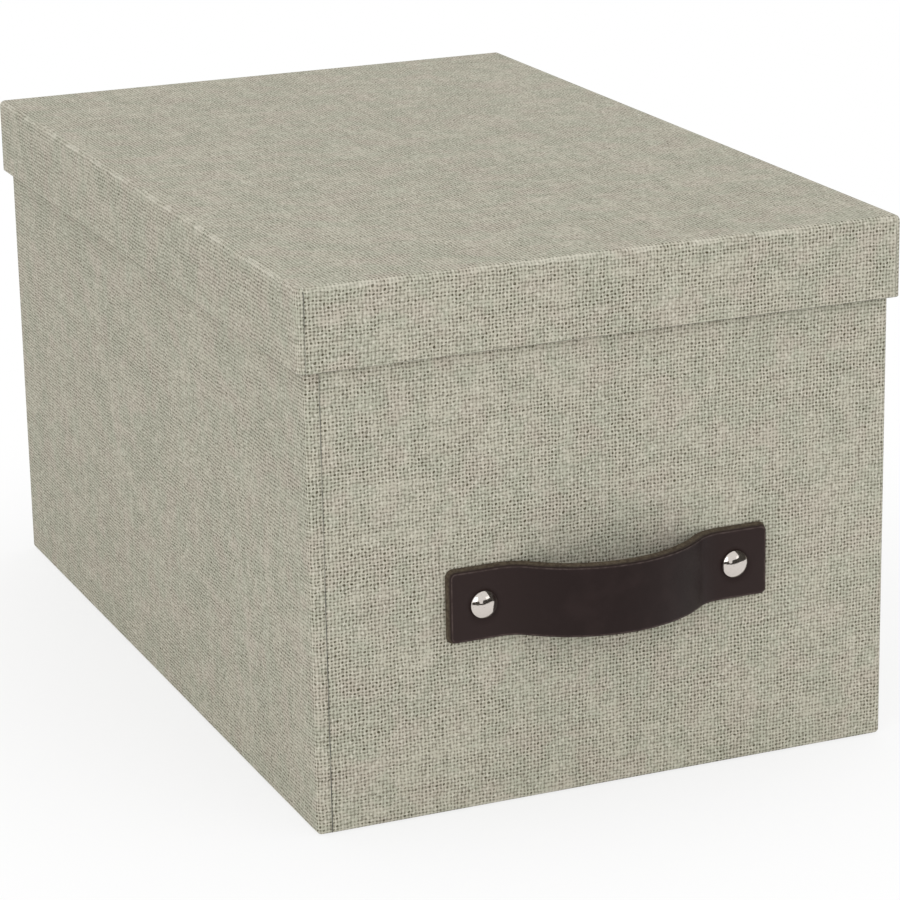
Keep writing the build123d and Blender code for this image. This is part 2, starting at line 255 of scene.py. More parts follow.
@dataclass
class Outline:
    """A rounded rectangle seen from above, sampled once round from a joint on its front side.

    Each column holds the two corners that its stretch runs between, how far along it stands and which way
    its face looks, so that the outline can be drawn at any inset. At an inset n the corner centres stand
    max(radius, n) inside the sides, and the corner round is what is left of the radius.

    Attributes:
        half_width: Half the size along X.
        half_depth: Half the size along Y.
        radius: Radius of the upright corners.
        joint: Distance of the starting joint from the left corner.
        step: Largest distance between two columns.
        arc_count: Number of spaces in each corner round.
        lip: Distance from the joint to one more column on each side of it, or nothing for none.
        joint_laps: Depth of the first and of the last column, which stand in the joint, in laps.
        first: Corner at which each column's stretch starts, as the signs of x and y.
        second: Corner at which it ends, which is the first again in a corner round.
        share: How far along the stretch the column stands.
        facing: Unit vector that its face looks along.
        run: Distance run round the outside; on the front it is x.
    """

    half_width: float
    half_depth: float
    radius: float
    joint: float
    step: float = 4 * MM
    arc_count: int = 8
    lip: float = 0.0
    joint_laps: Pair = (0.3, 1.4)
    first: np.ndarray = field(init=False)
    second: np.ndarray = field(init=False)
    share: np.ndarray = field(init=False)
    facing: np.ndarray = field(init=False)
    run: np.ndarray = field(init=False)

    def __post_init__(self) -> None:
        """Lay the columns out: the front from the joint, then right, back and left, and back to the joint."""
        corners = np.array([(-1, -1), (1, -1), (1, 1), (-1, 1)], float)
        flat = np.array([self.half_width, self.half_depth]) - self.radius
        joint_share = (self.joint - self.radius) / (2 * flat[0])
        columns: list[tuple[np.ndarray, np.ndarray, np.ndarray, np.ndarray]] = []
        for side in range(5):
            here, there = corners[side % 4], corners[(side + 1) % 4]
            angle = math.radians(-90 + 90 * side)
            shares = self.side_shares(side, joint_share, 2 * flat[side % 2])
            normal = np.array([math.cos(angle), math.sin(angle)])
            start, end, facing = (np.tile(part, (len(shares), 1)) for part in (here, there, normal))
            columns.append((start, end, shares, facing))
            if side < 4:
                turn = angle + np.radians(np.linspace(0, 90, self.arc_count + 1)[1:-1])
                corner = np.tile(there, (len(turn), 1))
                facing = np.stack([np.cos(turn), np.sin(turn)], axis=1)
                columns.append((corner, corner, np.zeros(len(turn)), facing))
        self.first, self.second, self.share, self.facing = (np.concatenate(part) for part in zip(*columns))
        self.run = run_lengths(self.place(np.zeros(len(self.share)))) - self.half_width + self.joint

    def side_shares(self, side: int, joint_share: float, length: float) -> np.ndarray:
        """Where the columns of one straight stretch stand on their side.

        A whole side has an even number of spaces, so that it matches two halves across the outline.

        Args:
            side: 0 for the front from the joint on, 1 to 3 for the next sides, 4 for the rest of the front.
            joint_share: Place of the joint on the front, as a share of it.
            length: Length of the whole side.

        Returns:
            Shares of the side, in order.
        """
        low = joint_share if side == 0 else 0.0
        high = joint_share if side == 4 else 1.0
        spaces = max(1, math.ceil((high - low) * length / self.step))
        if low == 0.0 and high == 1.0:
            spaces = 2 * math.ceil(spaces / 2)
        shares = np.linspace(low, high, spaces + 1)
        if self.lip and side == 0:
            shares = np.insert(shares, 1, low + self.lip / length)
        if self.lip and side == 4:
            shares = np.insert(shares, -1, high - self.lip / length)
        return shares

    def is_straight(self) -> np.ndarray:
        """Whether each column stands on a straight stretch, not in a corner round."""
        return np.any(self.first != self.second, axis=1)

    def flatness(self) -> np.ndarray:
        """How far each column stands from the corners: a half sine wave along each side, 0 in the rounds."""
        return np.where(self.is_straight(), np.sin(np.pi * self.share), 0.0)

    def joint_mark(self) -> np.ndarray:
        """1 for the two columns in the joint and 0 for the others."""
        return np.isin(np.arange(len(self.run)), (0, len(self.run) - 1)).astype(float)

    def lap_inset(self, lap: float, blend: float) -> np.ndarray:
        """How far each column is sunk where the strip that comes round the left corner lies under the front.

        The strip is one lap deeper from the corner to the joint, and eases back over the blend on the side
        wall. The last column, in the joint itself, is deeper still, and the first has a slightly rounded lip.

        Args:
            lap: Depth of the strip.
            blend: Distance over which it eases.

        Returns:
            One inset for each column.
        """
        past_corner = self.run - (self.run[-1] - self.joint - blend)
        inset = lap * smooth_step(past_corner / blend)
        inset[[0, -1]] = np.array(self.joint_laps) * lap
        return inset

    def place(self, inset: np.ndarray) -> np.ndarray:
        """Points of the outline at an inset, which may differ from column to column.

        Args:
            inset: Array whose last axis runs over the columns.

        Returns:
            Array of the same shape with a last axis of x and y.
        """
        inside = np.maximum(self.radius, inset)[..., None]
        centre = (1 - self.share[:, None]) * self.first + self.share[:, None] * self.second
        spread = np.abs(self.first) * np.array([self.half_width, self.half_depth]) - inside
        return centre * spread + np.maximum(self.radius - inset, 0.0)[..., None] * self.facing


# ---------------------------------------------------------------- finishes


class Chart:
    """A tree of shader nodes, built socket by socket.

    Attributes:
        nodes: The tree's nodes.
        links: The tree's links.
    """

    def __init__(self, tree: bpy.types.NodeTree) -> None:
        """Empty a tree and start on it.

        Args:
            tree: The node tree of a material or of the world.
        """
        self.nodes, self.links = tree.nodes, tree.links
        self.nodes.clear()

    def feed(self, target: Socket, value: Number | Paint) -> None:
        """Link a socket to an input, or set the input's own value.

        Args:
            target: The input.
            value: A socket, a number, or a colour without its fourth number.
        """
        if isinstance(value, bpy.types.NodeSocket):
            self.links.new(value, target)
        else:
            target.default_value = (*value, 1.0) if target.type == "RGBA" else value

    def node(self, kind: str, inputs: dict[str | int, Number | Paint] | None = None, **options: str) -> Node:
        """Add a node.

        Args:
            kind: Its type's name, without what all shader nodes' names start with.
            inputs: What to feed to its inputs, by their names or numbers.
            **options: Its own options.

        Returns:
            The node.
        """
        node = self.nodes.new(f"ShaderNode{kind}")
        for key, option in options.items():
            setattr(node, key, option)
        for key, value in (inputs or {}).items():
            self.feed(node.inputs[key], value)
        return node

    def sheet_place(self) -> Socket:
        """The place on the piece's own flat sheet, in metres."""
        return self.node("UVMap", uv_map=WEAVE_MAP).outputs["UV"]

    def object_place(self) -> Socket:
        """The place in the box's frame, in metres."""
        return self.node("TexCoord").outputs["Object"]

    def attribute(self, name: str) -> Socket:
        """A number that the piece's own mesh carries."""
        return self.node("Attribute", attribute_name=name).outputs["Fac"]

    def split(self, vector: Socket) -> tuple[Socket, ...]:
        """The three parts of a vector."""
        return tuple(self.node("SeparateXYZ", {0: vector}).outputs)

    def join(self, x: Number, y: Number, z: Number = 0.0) -> Socket:
        """A vector of three numbers."""
        return self.node("CombineXYZ", {0: x, 1: y, 2: z}).outputs[0]

    def calc(self, operation: str, *values: Number) -> Socket:
        """One step of arithmetic, by the name that Blender's Math node has for it."""
        return self.node("Math", dict(enumerate(values)), operation=operation).outputs[0]

    def noise(self, place: Socket, scale: float, detail: float = 2.0, roughness: float = 0.5) -> Socket:
        """Smooth noise about a half, from 0 to 1.

        Args:
            place: Where to read it.
            scale: Lumps for each metre or unit.
            detail: Number of finer layers.
            roughness: Weight of the finer layers.

        Returns:
            The noise.
        """
        inputs = {"Vector": place, "Scale": scale, "Detail": detail, "Roughness": roughness}
        return self.node("TexNoise", inputs).outputs["Fac"]

    def ramp(self, value: Socket, low: Number, high: Number, start: float = 0.0, end: float = 1.0) -> Socket:
        """Ease from one number to another.

        Args:
            value: What the ramp follows.
            low: Value at which it starts.
            high: Value at which it ends.
            start: Result up to the low value.
            end: Result from the high value on.

        Returns:
            The result.
        """
        inputs = {"Value": value, "From Min": low, "From Max": high, "To Min": start, "To Max": end}
        return self.node("MapRange", inputs, interpolation_type="SMOOTHSTEP").outputs[0]

    def blend(self, share: Number, first: Paint, second: Paint) -> Socket:
        """Mix two colours, by the share of the second."""
        return self.node("Mix", {0: share, 6: first, 7: second}, data_type="RGBA").outputs[2]

    def mix_shaders(self, share: Socket, first: Socket, second: Socket) -> Socket:
        """Mix two shaders, by the share of the second."""
        return self.node("MixShader", {0: share, 1: first, 2: second}).outputs[0]

    def seen(self) -> Socket:
        """Tell the rays that show a surface from those that only light others.

        Returns:
            1 for camera, reflected and transmitted rays, and 0 for the others.
        """
        rays = self.node("LightPath").outputs
        shown = self.calc("MAXIMUM", rays["Is Camera Ray"], rays["Is Glossy Ray"])
        return self.calc("MAXIMUM", shown, rays["Is Transmission Ray"])


class MaterialChart(Chart):
    """The node tree of a new material, with one Principled shader.

    Attributes:
        material: The material.
        shader: Its shader.
        surface: The socket that the shader, or what takes its place, goes into.
    """

    def __init__(self, name: str) -> None:
        """Start a material.

        Args:
            name: Name of the material.
        """
        self.material = bpy.data.materials.new(name)
        self.material.use_nodes = True
        super().__init__(self.material.node_tree)
        self.shader = self.node("BsdfPrincipled")
        self.surface = self.node("OutputMaterial", {"Surface": self.shader.outputs[0]}).inputs["Surface"]

    def set(self, **values: Number | Paint) -> None:
        """Set or link the shader's inputs, named in lower case with underscores."""
        for key, value in values.items():
            self.feed(self.shader.inputs[key.replace("_", " ").title().replace("Ior", "IOR")], value)

    def relief(self, height: Socket, depth: float, strength: float) -> None:
        """Give the shader a fine relief.

        Args:
            height: Height, 0 to 1.
            depth: Real depth of the relief, in metres.
            strength: Share of it that shows.
        """
        bump = self.node("Bump", {"Distance": depth, "Strength": strength, "Height": height})
        self.feed(self.shader.inputs["Normal"], bump.outputs[0])


@dataclass(frozen=True)
class Patches:
    """Patches of smooth noise with soft edges.

    Attributes:
        rate: Lumps for each unit of the place that they are read at.
        detail: Number of finer layers.
        span: Noise at which a patch begins and noise at which it is full.
        levels: Value beside the patches and value in them.
        roughness: Weight of the finer layers.
        shift: Third coordinate on the threads, which keeps these patches apart from others.
    """

    rate: float
    detail: float
    span: Pair
    levels: Pair = (0.0, 1.0)
    roughness: float = 0.5
    shift: float = 0.0

    def at(self, chart: Chart, place: Socket) -> Socket:
        """The patches at a place."""
        noise = chart.noise(place, self.rate, self.detail, self.roughness)
        return chart.ramp(noise, *self.span, *self.levels)

    def on_threads(self, chart: Chart, u: Socket, v: Socket) -> Socket:
        """The patches at a place that is counted in threads."""
        return self.at(chart, chart.join(u, v, self.shift))


@dataclass(frozen=True)
class WovenPaper:
    """Covering paper pressed like linen: pale threads in a plain weave with dark gaps between them.

    A gap is open where the product of two cosines, one for each set of threads, passes a threshold. The
    threads wander a little, each swells and thins along its own length, and soft clouds and streaks open
    and close the gaps from place to place. All lengths of noise are in threads, but for the wandering.

    Attributes:
        name: Name of the material.
        pitch_across: Distance between the threads that run up the sheet.
        pitch_along: Distance between those that run across it.
        thread: Colour of the threads.
        thread_warm: Their colour in warm patches.
        thread_cool: Their colour in cool ones.
        lit: Colour of raised crossings and worn edges.
        gap: Colour deep between the threads.
        joint_and_shade: Colour in a joint, and of the painted shade line along the fold at the lid's rim.
        drift: Depth of the slow wandering and its lumps for each metre.
        jitter: Depth of the quick wandering and its lumps for each metre.
        diagonals: Weights of the two diagonals along which over and under take turns.
        twill_and_shade: How much those turns darken a gap, partly as painted shade cast to one side by the
            raised crossings and partly from the threads' twist, and the darkness of the middle ones.
        openness: Tightness where no layer pulls it either way.
        swell: Weight of each thread's own thickness in the tightness.
        own_rates: Steps of the noise from thread to thread and along one.
        chance: Weight of each gap's own chance.
        cloud: Weight of the round clouds.
        streaks: Weights of the streaks along the upright threads and of those along the level ones.
        streak_rates: For each of the two, lumps for each upright and for each level thread that is crossed.
        least: Lowest threshold of a gap.
        softness: How far above its threshold a gap is fully dark.
        loose_to_tight: Tightness from which on gaps fade, and at which they are faintest.
        faintest: Darkness left in the faintest gaps.
        pale_gaps: Share of the gaps that are paler, and the darkness left in the palest.
        gap_levels: Darkness of the gaps away from worn edges and on them.
        lift: How much passing over raises a thread's back, and the middle height.
        crossing_levels: How much of the lit colour the plainest and the brightest crossings take.
        turn_levels: How much of it is left where a thread passes under and over.
        worn_share: Share of the lit colour on a worn edge.
        groove_share: Share of the gap's colour on threads beside a gap.
        bridges: Grooves that join gap to gap.
        wear_and_highlight: Where an edge is worn.
        pressed: Where a joint shows, and where the painted shade line along the fold at the lid's rim shows.
        plainness: Where the threads aren't cool.
        warmth: Where they are warm.
        fibres: Dark fibres along the threads.
    """

    name: str = "woven_covering_paper"
    pitch_across: float = 1.27 * MM
    pitch_along: float = 1.25 * MM
    thread: Colour = (0.567, 0.541, 0.440)
    thread_warm: Colour = (0.567, 0.516, 0.430)
    thread_cool: Colour = (0.514, 0.511, 0.410)
    lit: Colour = (0.692, 0.664, 0.563)
    gap: Colour = (0.074, 0.063, 0.036)
    # Dark colour of a joint, and of the painted shade line along the fold at the lid's rim.
    joint_and_shade: Colour = (0.030, 0.034, 0.034)
    drift: Pair = (1.05, 90.0)
    jitter: Pair = (0.80, 480.0)
    diagonals: Pair = (0.25, 0.75)
    # Partly painted shade: the turns darken gaps as raised crossings shading one side would, and partly
    # follow the threads' twist.
    twill_and_shade: Pair = (0.48, 0.90)
    openness: float = 0.07
    swell: float = 1.6
    own_rates: Pair = (1.7, 0.11)
    chance: float = 0.46
    cloud: float = 0.95
    streaks: Pair = (1.3, 1.235)
    streak_rates: tuple[Pair, Pair] = ((0.32, 0.030), (0.026, 0.32))
    least: float = 0.10
    softness: float = 0.40
    loose_to_tight: Pair = (-0.25, 0.50)
    faintest: float = 0.50
    pale_gaps: Pair = (0.6, 0.64)
    gap_levels: Pair = (0.92, 0.35)
    lift: Pair = (0.35, 0.65)
    crossing_levels: Pair = (0.10, 0.90)
    turn_levels: Pair = (0.15, 1.0)
    worn_share: float = 0.65
    groove_share: float = 0.25
    bridges: Patches = Patches(0.85, 1.0, (0.44, 0.66), (0.08, 0.60), shift=5.0)
    wear_and_highlight: Patches = Patches(0.11, 2.0, (0.42, 0.62), shift=23.0)
    pressed: Patches = Patches(0.12, 2.0, (0.40, 0.58), (0.35, 0.9), shift=31.0)
    plainness: Patches = Patches(0.13, 2.0, (0.40, 0.60), shift=11.0)
    warmth: Patches = Patches(0.09, 3.0, (0.47, 0.66), (0.0, 0.85), shift=11.0)
    fibres: Patches = Patches(5.0, 3.0, (0.42, 0.75), (0.0, 0.30), 0.7, shift=17.0)

    def build(self) -> bpy.types.Material:
        """Make the material.

        Returns:
            The material.
        """
        chart = MaterialChart(self.name)
        u, v = self.thread_counts(chart)
        turn = self.alternation(chart, u, v)
        between = [chart.calc("MULTIPLY_ADD", self.wave(chart, axis), -0.5, 0.5) for axis in (u, v)]
        hole = chart.calc("MULTIPLY", *between)
        worn = chart.calc("MULTIPLY", chart.attribute(EDGE_MAP), self.wear_and_highlight.on_threads(chart, u, v))
        groove = chart.calc("POWER", chart.calc("MAXIMUM", *between), 2.0)
        groove = chart.calc("MULTIPLY", groove, self.bridges.on_threads(chart, u, v))
        dark = chart.calc("MAXIMUM", self.gap_darkness(chart, u, v, hole, turn), groove)
        dark = chart.calc("MULTIPLY", dark, chart.ramp(worn, 0.0, 1.0, *self.gap_levels))
        colour = chart.blend(dark, self.thread_tone(chart, u, v, hole, worn, turn), self.gap)
        # Darkens the joint, and paints the shade line along the fold at the lid's rim.
        joint = chart.calc("MULTIPLY", chart.attribute(JOINT_AND_SHADE_MAP), self.pressed.on_threads(chart, u, v))
        chart.set(base_color=chart.blend(joint, colour, self.joint_and_shade), roughness=0.86, specular_ior_level=0.22)
        chart.relief(self.thread_height(chart, u, v), depth=0.16 * MM, strength=0.75)
        return chart.material

    def thread_counts(self, chart: Chart) -> tuple[Socket, Socket]:
        """Thread coordinates: the sheet's place over the pitch, plus slow and quick wandering.

        Args:
            chart: The material's chart.

        Returns:
            The place across the upright threads and the place across the level ones, counted in threads.
        """
        across, along, _ = chart.split(chart.sheet_place())
        counts = []
        for run, pitch, offset in ((across, self.pitch_across, 0.0), (along, self.pitch_along, 7.7)):
            shifted = chart.join(chart.calc("ADD", across, offset), chart.calc("ADD", along, offset))
            count = chart.calc("DIVIDE", run, pitch)
            for (depth, rate), detail in ((self.drift, 2.0), (self.jitter, 1.0)):
                wandering = chart.calc("SUBTRACT", chart.noise(shifted, rate, detail), 0.5)
                count = chart.calc("MULTIPLY_ADD", wandering, depth, count)
            counts.append(count)
        return counts[0], counts[1]

    @staticmethod
    def wave(chart: Chart, count: Socket, rate: float = 2 * math.pi) -> Socket:
        """Cosine of a thread coordinate, 1 on the middle of each thread."""
        return chart.calc("COSINE", chart.calc("MULTIPLY", count, rate))

    def alternation(self, chart: Chart, u: Socket, v: Socket) -> Socket:
        """Over and under by turns: cosines of half a turn for each thread, along both diagonals.

        Args:
            chart: The material's chart.
            u: Place across the upright threads.
            v: Place across the level threads.

        Returns:
            The weighted sum of the two cosines, -1 to 1.
        """
        rising, falling = (self.wave(chart, chart.calc(way, u, v), math.pi) for way in ("ADD", "SUBTRACT"))
        weaker, stronger = self.diagonals
        return chart.calc("MULTIPLY_ADD", falling, stronger, chart.calc("MULTIPLY", rising, weaker))

    def gap_darkness(self, chart: Chart, u: Socket, v: Socket, hole: Socket, turn: Socket) -> Socket:
        """How dark the gaps are: dark past a threshold, and fainter where the weave is tight.

        Args:
            chart: The material's chart.
            u: Place across the upright threads.
            v: Place across the level threads.
            hole: 1 in the middle of a gap and 0 on the threads.
            turn: Over and under by turns.

        Returns:
            The darkness, 0 to 1.
        """
        tightness = self.tightness(chart, u, v)
        low = chart.calc("MAXIMUM", tightness, self.least)
        dark = chart.ramp(hole, low, chart.calc("ADD", low, self.softness))
        # The turns darken gaps partly as painted shade, cast to one side by the raised crossings.
        for share in (
            chart.ramp(tightness, *self.loose_to_tight, 1.0, self.faintest),
            chart.ramp(self.cell_chance(chart, u, v, 0.0), 0.0, *self.pale_gaps, 1.0),
            chart.calc("MULTIPLY_ADD", turn, *self.twill_and_shade),
        ):
            dark = chart.calc("MULTIPLY", dark, share)
        return dark

    def tightness(self, chart: Chart, u: Socket, v: Socket) -> Socket:
        """How closely the threads lie: high where they are thick and hide a gap, low where they are thin.

        Args:
            chart: The material's chart.
            u: Place across the upright threads.
            v: Place across the level threads.

        Returns:
            The openness plus each layer's weight times its noise less a half.
        """
        stretched = (
            chart.join(chart.calc("MULTIPLY", u, rate_u), chart.calc("MULTIPLY", v, rate_v), 3.0)
            for rate_u, rate_v in self.streak_rates
        )
        layers = [
            (self.swell, self.own_noise(chart, u, v, 0.0)),
            (self.swell, self.own_noise(chart, v, u, 41.0)),
            (self.cloud, chart.noise(chart.join(u, v), 0.05, 3.0, 0.55)),
            *((weight, chart.noise(place, 1.0, 2.0)) for weight, place in zip(self.streaks, stretched)),
            (self.chance, self.cell_chance(chart, u, v, 0.0)),
        ]
        total: Number = self.openness
        for weight, layer in layers:
            total = chart.calc("MULTIPLY_ADD", chart.calc("SUBTRACT", layer, 0.5), weight, total)
        return total

    def own_noise(self, chart: Chart, own: Socket, other: Socket, offset: float) -> Socket:
        """Noise that belongs to one thread and changes slowly along it.

        Args:
            chart: The material's chart.
            own: Coordinate that counts the threads.
            other: Coordinate along them.
            offset: Keeps the two sets of threads apart.

        Returns:
            The noise, 0 to 1.
        """
        number = chart.calc("FLOOR", chart.calc("ADD", own, 0.5))
        steps = (chart.calc("MULTIPLY", axis, rate) for axis, rate in zip((number, other), self.own_rates))
        return chart.noise(chart.join(*steps, offset), 1.0, 2.0, 0.6)

    @staticmethod
    def cell_chance(chart: Chart, u: Socket, v: Socket, shift: float) -> Socket:
        """An even chance for each cell of the weave.

        Args:
            chart: The material's chart.
            u: Place across the upright threads.
            v: Place across the level threads.
            shift: 0 for a chance for each gap, and a half for each crossing.

        Returns:
            The chance, 0 to 1.
        """
        counts = [chart.calc("FLOOR", chart.calc("ADD", axis, shift)) for axis in (u, v)]
        node = chart.node("TexWhiteNoise", {"Vector": chart.join(*counts)}, noise_dimensions="2D")
        return node.outputs["Value"]

    def thread_tone(
        self, chart: Chart, u: Socket, v: Socket, hole: Socket, worn: Socket, turn: Socket
    ) -> Socket:
        """Colour of the threads: soft warm and cool patches, grooves, lit crossings and pale worn edges.

        Args:
            chart: The material's chart.
            u: Place across the upright threads.
            v: Place across the level threads.
            hole: 1 in the middle of a gap and 0 on the threads.
            worn: How worn the edge is.
            turn: Over and under by turns.

        Returns:
            The colour.
        """
        brightness = chart.ramp(self.cell_chance(chart, u, v, 0.5), 0.1, 0.9, *self.crossing_levels)
        crossing = chart.calc("MULTIPLY", brightness, chart.ramp(turn, -0.9, 0.9, *self.turn_levels))
        backs = chart.calc("MULTIPLY", self.thread_height(chart, u, v), crossing)
        tone = chart.blend(self.plainness.on_threads(chart, u, v), self.thread_cool, self.thread)
        for share, colour in (
            (self.warmth.on_threads(chart, u, v), self.thread_warm),
            (backs, self.lit),
            (chart.calc("MULTIPLY", worn, self.worn_share), self.lit),
            (self.fibres.on_threads(chart, u, v), self.gap),
            (chart.calc("MULTIPLY", hole, self.groove_share), self.gap),
        ):
            tone = chart.blend(share, tone, colour)
        return tone

    def thread_height(self, chart: Chart, u: Socket, v: Socket) -> Socket:
        """Height of the plain weave: each thread's round back, higher where it passes over.

        Args:
            chart: The material's chart.
            u: Place across the upright threads.
            v: Place across the level threads.

        Returns:
            The height of the higher of the two threads, 0 to 1.
        """
        over = chart.calc("MULTIPLY", self.wave(chart, u, math.pi), self.wave(chart, v, math.pi))
        rise, middle = self.lift
        backs = []
        for axis, change in ((u, rise), (v, -rise)):
            back = chart.calc("MULTIPLY_ADD", self.wave(chart, axis), 0.5, 0.5)
            backs.append(chart.calc("MULTIPLY", back, chart.calc("MULTIPLY_ADD", over, change, middle)))
        return chart.calc("MAXIMUM", *backs)


@dataclass(frozen=True)
class PlainPaper:
    """Smooth paper or board: a base colour with soft fibre clouds and specks.

    Attributes:
        name: Name of the material.
        colour: Its own colour.
        speck: Colour of the specks, and of the clouds.
        speck_share: Share of the specks' colour in a speck.
        clouds: Where the clouds lie.
    """

    name: str
    colour: Colour
    speck: Colour
    speck_share: float = 0.25
    clouds: Patches = Patches(35.0, 2.0, (0.3, 0.7), (0.0, 0.12))

    def build(self) -> bpy.types.Material:
        """Make the material.

        Returns:
            The material.
        """
        chart = MaterialChart(self.name)
        place = chart.object_place()
        specks = Patches(900.0, 3.0, (0.5, 0.72), (0.0, self.speck_share), 0.65).at(chart, place)
        colour = chart.blend(specks, self.colour, self.speck)
        colour = chart.blend(self.clouds.at(chart, place), colour, self.speck)
        chart.set(base_color=colour, roughness=0.9, specular_ior_level=0.25)
        chart.relief(chart.noise(place, 1600.0), depth=0.04 * MM, strength=0.5)
        return chart.material


@dataclass(frozen=True)
class StrapLeather:
    """Smooth dark brown leather: fine pores, soft colour drift, pale fibrous cut edges and a painted
    highlight along the arris.

    Attributes:
        name: Name of the material.
        colour: Its own brown.
        drift: A paler brown, in clouds and towards the strap's ends.
        wear_and_highlight: Colour of the painted highlight along the arris.
        cut: Colour of the cut edge.
        ends: Distance from the middle at which the paler brown begins and is full.
        clouds: Where the paler brown lies.
        arris_highlight_patches: Where along the arris the painted highlight shows, and how strongly.
        fibrous: Fibres of the cut edge.
        grain: Lumps of the grain for each metre, its finer layers and their weight.
        gloss: Roughness of the leather between and on its pores.
    """

    name: str = "strap_leather"
    colour: Colour = (0.0165, 0.0085, 0.0076)
    drift: Colour = (0.0255, 0.0145, 0.0132)
    # Colour of the painted highlight along the face's arris.
    wear_and_highlight: Colour = (0.105, 0.076, 0.068)
    cut: Colour = (0.105, 0.084, 0.058)
    ends: Pair = (18 * MM, 46 * MM)
    clouds: Patches = Patches(110.0, 3.0, (0.35, 0.8), (0.0, 0.7))
    arris_highlight_patches: Patches = Patches(500.0, 3.0, (0.35, 0.7), (0.25, 0.85))
    fibrous: Patches = Patches(900.0, 3.0, (0.35, 0.65), (0.45, 1.0), 0.6)
    grain: tuple[float, float, float] = (2600.0, 3.0, 0.6)
    gloss: Pair = (0.42, 0.58)

    def build(self) -> bpy.types.Material:
        """Make the material.

        Returns:
            The material.
        """
        chart = MaterialChart(self.name)
        place = chart.object_place()
        cut = chart.attribute(CUT_MAP)
        ends = chart.ramp(chart.calc("ABSOLUTE", chart.split(place)[0]), *self.ends)
        paler = chart.calc("MAXIMUM", self.clouds.at(chart, place), ends)
        colour = chart.blend(paler, self.colour, self.drift)
        colour = chart.blend(chart.calc("MULTIPLY", cut, self.fibrous.at(chart, place)), colour, self.cut)
        # Painted highlight along the face's arris, in patches.
        arris = chart.calc("MULTIPLY", chart.attribute(EDGE_MAP), self.arris_highlight_patches.at(chart, place))
        grain = chart.noise(place, *self.grain)
        rough = chart.calc("MAXIMUM", chart.ramp(grain, 0.3, 0.7, *self.gloss), cut)
        colour = chart.blend(arris, colour, self.wear_and_highlight)
        chart.set(base_color=colour, roughness=rough, specular_ior_level=0.17)
        height = chart.calc("MULTIPLY_ADD", chart.noise(place, 650.0), 0.5, grain)
        chart.relief(height, depth=0.05 * MM, strength=0.5)
        return chart.material


@dataclass(frozen=True)
class PolishedMetal:
    """Nickel plate with small dents, pits and fine handling marks.

    Attributes:
        name: Name of the material.
        colour: The clean plate.
        tarnish: Colour of the handling marks.
        pit: Colour in a pit.
        marks: Lumps of the marks for each metre, their finer layers and their weight.
        pits: Where the pits lie.
        gloss: Roughness of the clean plate and in the marks.
    """

    name: str = "polished_nickel"
    colour: Colour = (0.640, 0.588, 0.545)
    tarnish: Colour = (0.55, 0.51, 0.48)
    pit: Colour = (0.16, 0.14, 0.125)
    marks: tuple[float, float, float] = (1300.0, 4.0, 0.7)
    pits: Patches = Patches(2100.0, 2.0, (0.70, 0.78), (0.0, 0.8))
    gloss: Pair = (0.07, 0.20)

    def build(self) -> bpy.types.Material:
        """Make the material.

        Returns:
            The material.
        """
        chart = MaterialChart(self.name)
        place = chart.object_place()
        marks = chart.noise(place, *self.marks)
        pits = self.pits.at(chart, place)
        tint = chart.blend(chart.ramp(marks, 0.5, 0.8, 0.0, 0.6), self.colour, self.tarnish)
        rough = chart.ramp(marks, 0.4, 0.75, *self.gloss)
        chart.set(base_color=chart.blend(pits, tint, self.pit), metallic=1.0, roughness=rough)
        dents = chart.calc("MULTIPLY_ADD", pits, -0.6, chart.noise(place, 700.0))
        chart.relief(dents, depth=0.06 * MM, strength=0.5)
        return chart.material


# ---------------------------------------------------------------- pieces


@dataclass
class Shell:
    """What the body's and the lid's coverings share.

    Attributes:
        cover: CAD node of the covering.
        board: CAD node of its front board.
        corner: Radius of the upright corners.
        joint: Distance of the paper's joint from the left corner.
        wavelength: Middle length of the unevenness.
        seed: Seed of the unevenness.
        lap_blend: Distance over which the paper sinks towards the strip under the joint.
        corner_fade: How quickly the unevenness fades towards the corners.
        rim_round: Radius of the paper's edge over the rim.
        rim_gap: Distance from that round to the wall's next points.
        lap: Depth of the paper under the joint.
        lip: Distance from the joint to the next column.
        low: Lowest corner of the covering's box in the frame.
        high: Its highest corner.
        paper: Thickness of the paper.
        wall: Thickness of the board with its paper on both faces.
    """

    cover: str
    board: str
    corner: float
    joint: float
    wavelength: float
    seed: int
    lap_blend: float
    corner_fade: float
    rim_round: float = 0.3 * MM
    rim_gap: float = 0.5 * MM
    lap: float = 0.13 * MM
    lip: float = 0.3 * MM
    low: Vector = field(init=False)
    high: Vector = field(init=False)
    paper: float = field(init=False)
    wall: float = field(init=False)

    def __post_init__(self) -> None:
        """Read the covering's box, the paper's thickness and the whole wall's thickness."""
        self.low, self.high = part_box(self.cover)
        board_low, board_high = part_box(self.board)
        self.paper = board_low.y - self.low.y
        self.wall = board_high.y - board_low.y + 2 * self.paper

    def outline(self) -> Outline:
        """The covering seen from above."""
        return Outline(self.high.x, self.high.y, self.corner, self.joint, lip=self.lip)

    def rim_profile(self, rim: float, outward: float) -> list[np.ndarray]:
        """The covering's edge over the rim of a wall: a quarter round, the flat and a quarter round.

        Args:
            rim: Height of the rim.
            outward: 1 for a rim that points up and -1 for one that points down.

        Returns:
            Arrays of (inset, height) points, from the outer face to the inner one.
        """
        turn = self.rim_round
        base = rim - outward * turn
        rise = 90 * outward
        return [
            curve_points((turn, base), turn, 180, 180 - rise, 5),
            curve_points((self.wall - turn, base), turn, rise, 0, 5),
        ]

    def waves(self, outline: Outline, points: np.ndarray) -> np.ndarray:
        """Gentle waves over the rows and columns of a wall."""
        return gentle_waves(outline.run[None, :], points[:, 1:2], self.seed, self.wavelength)


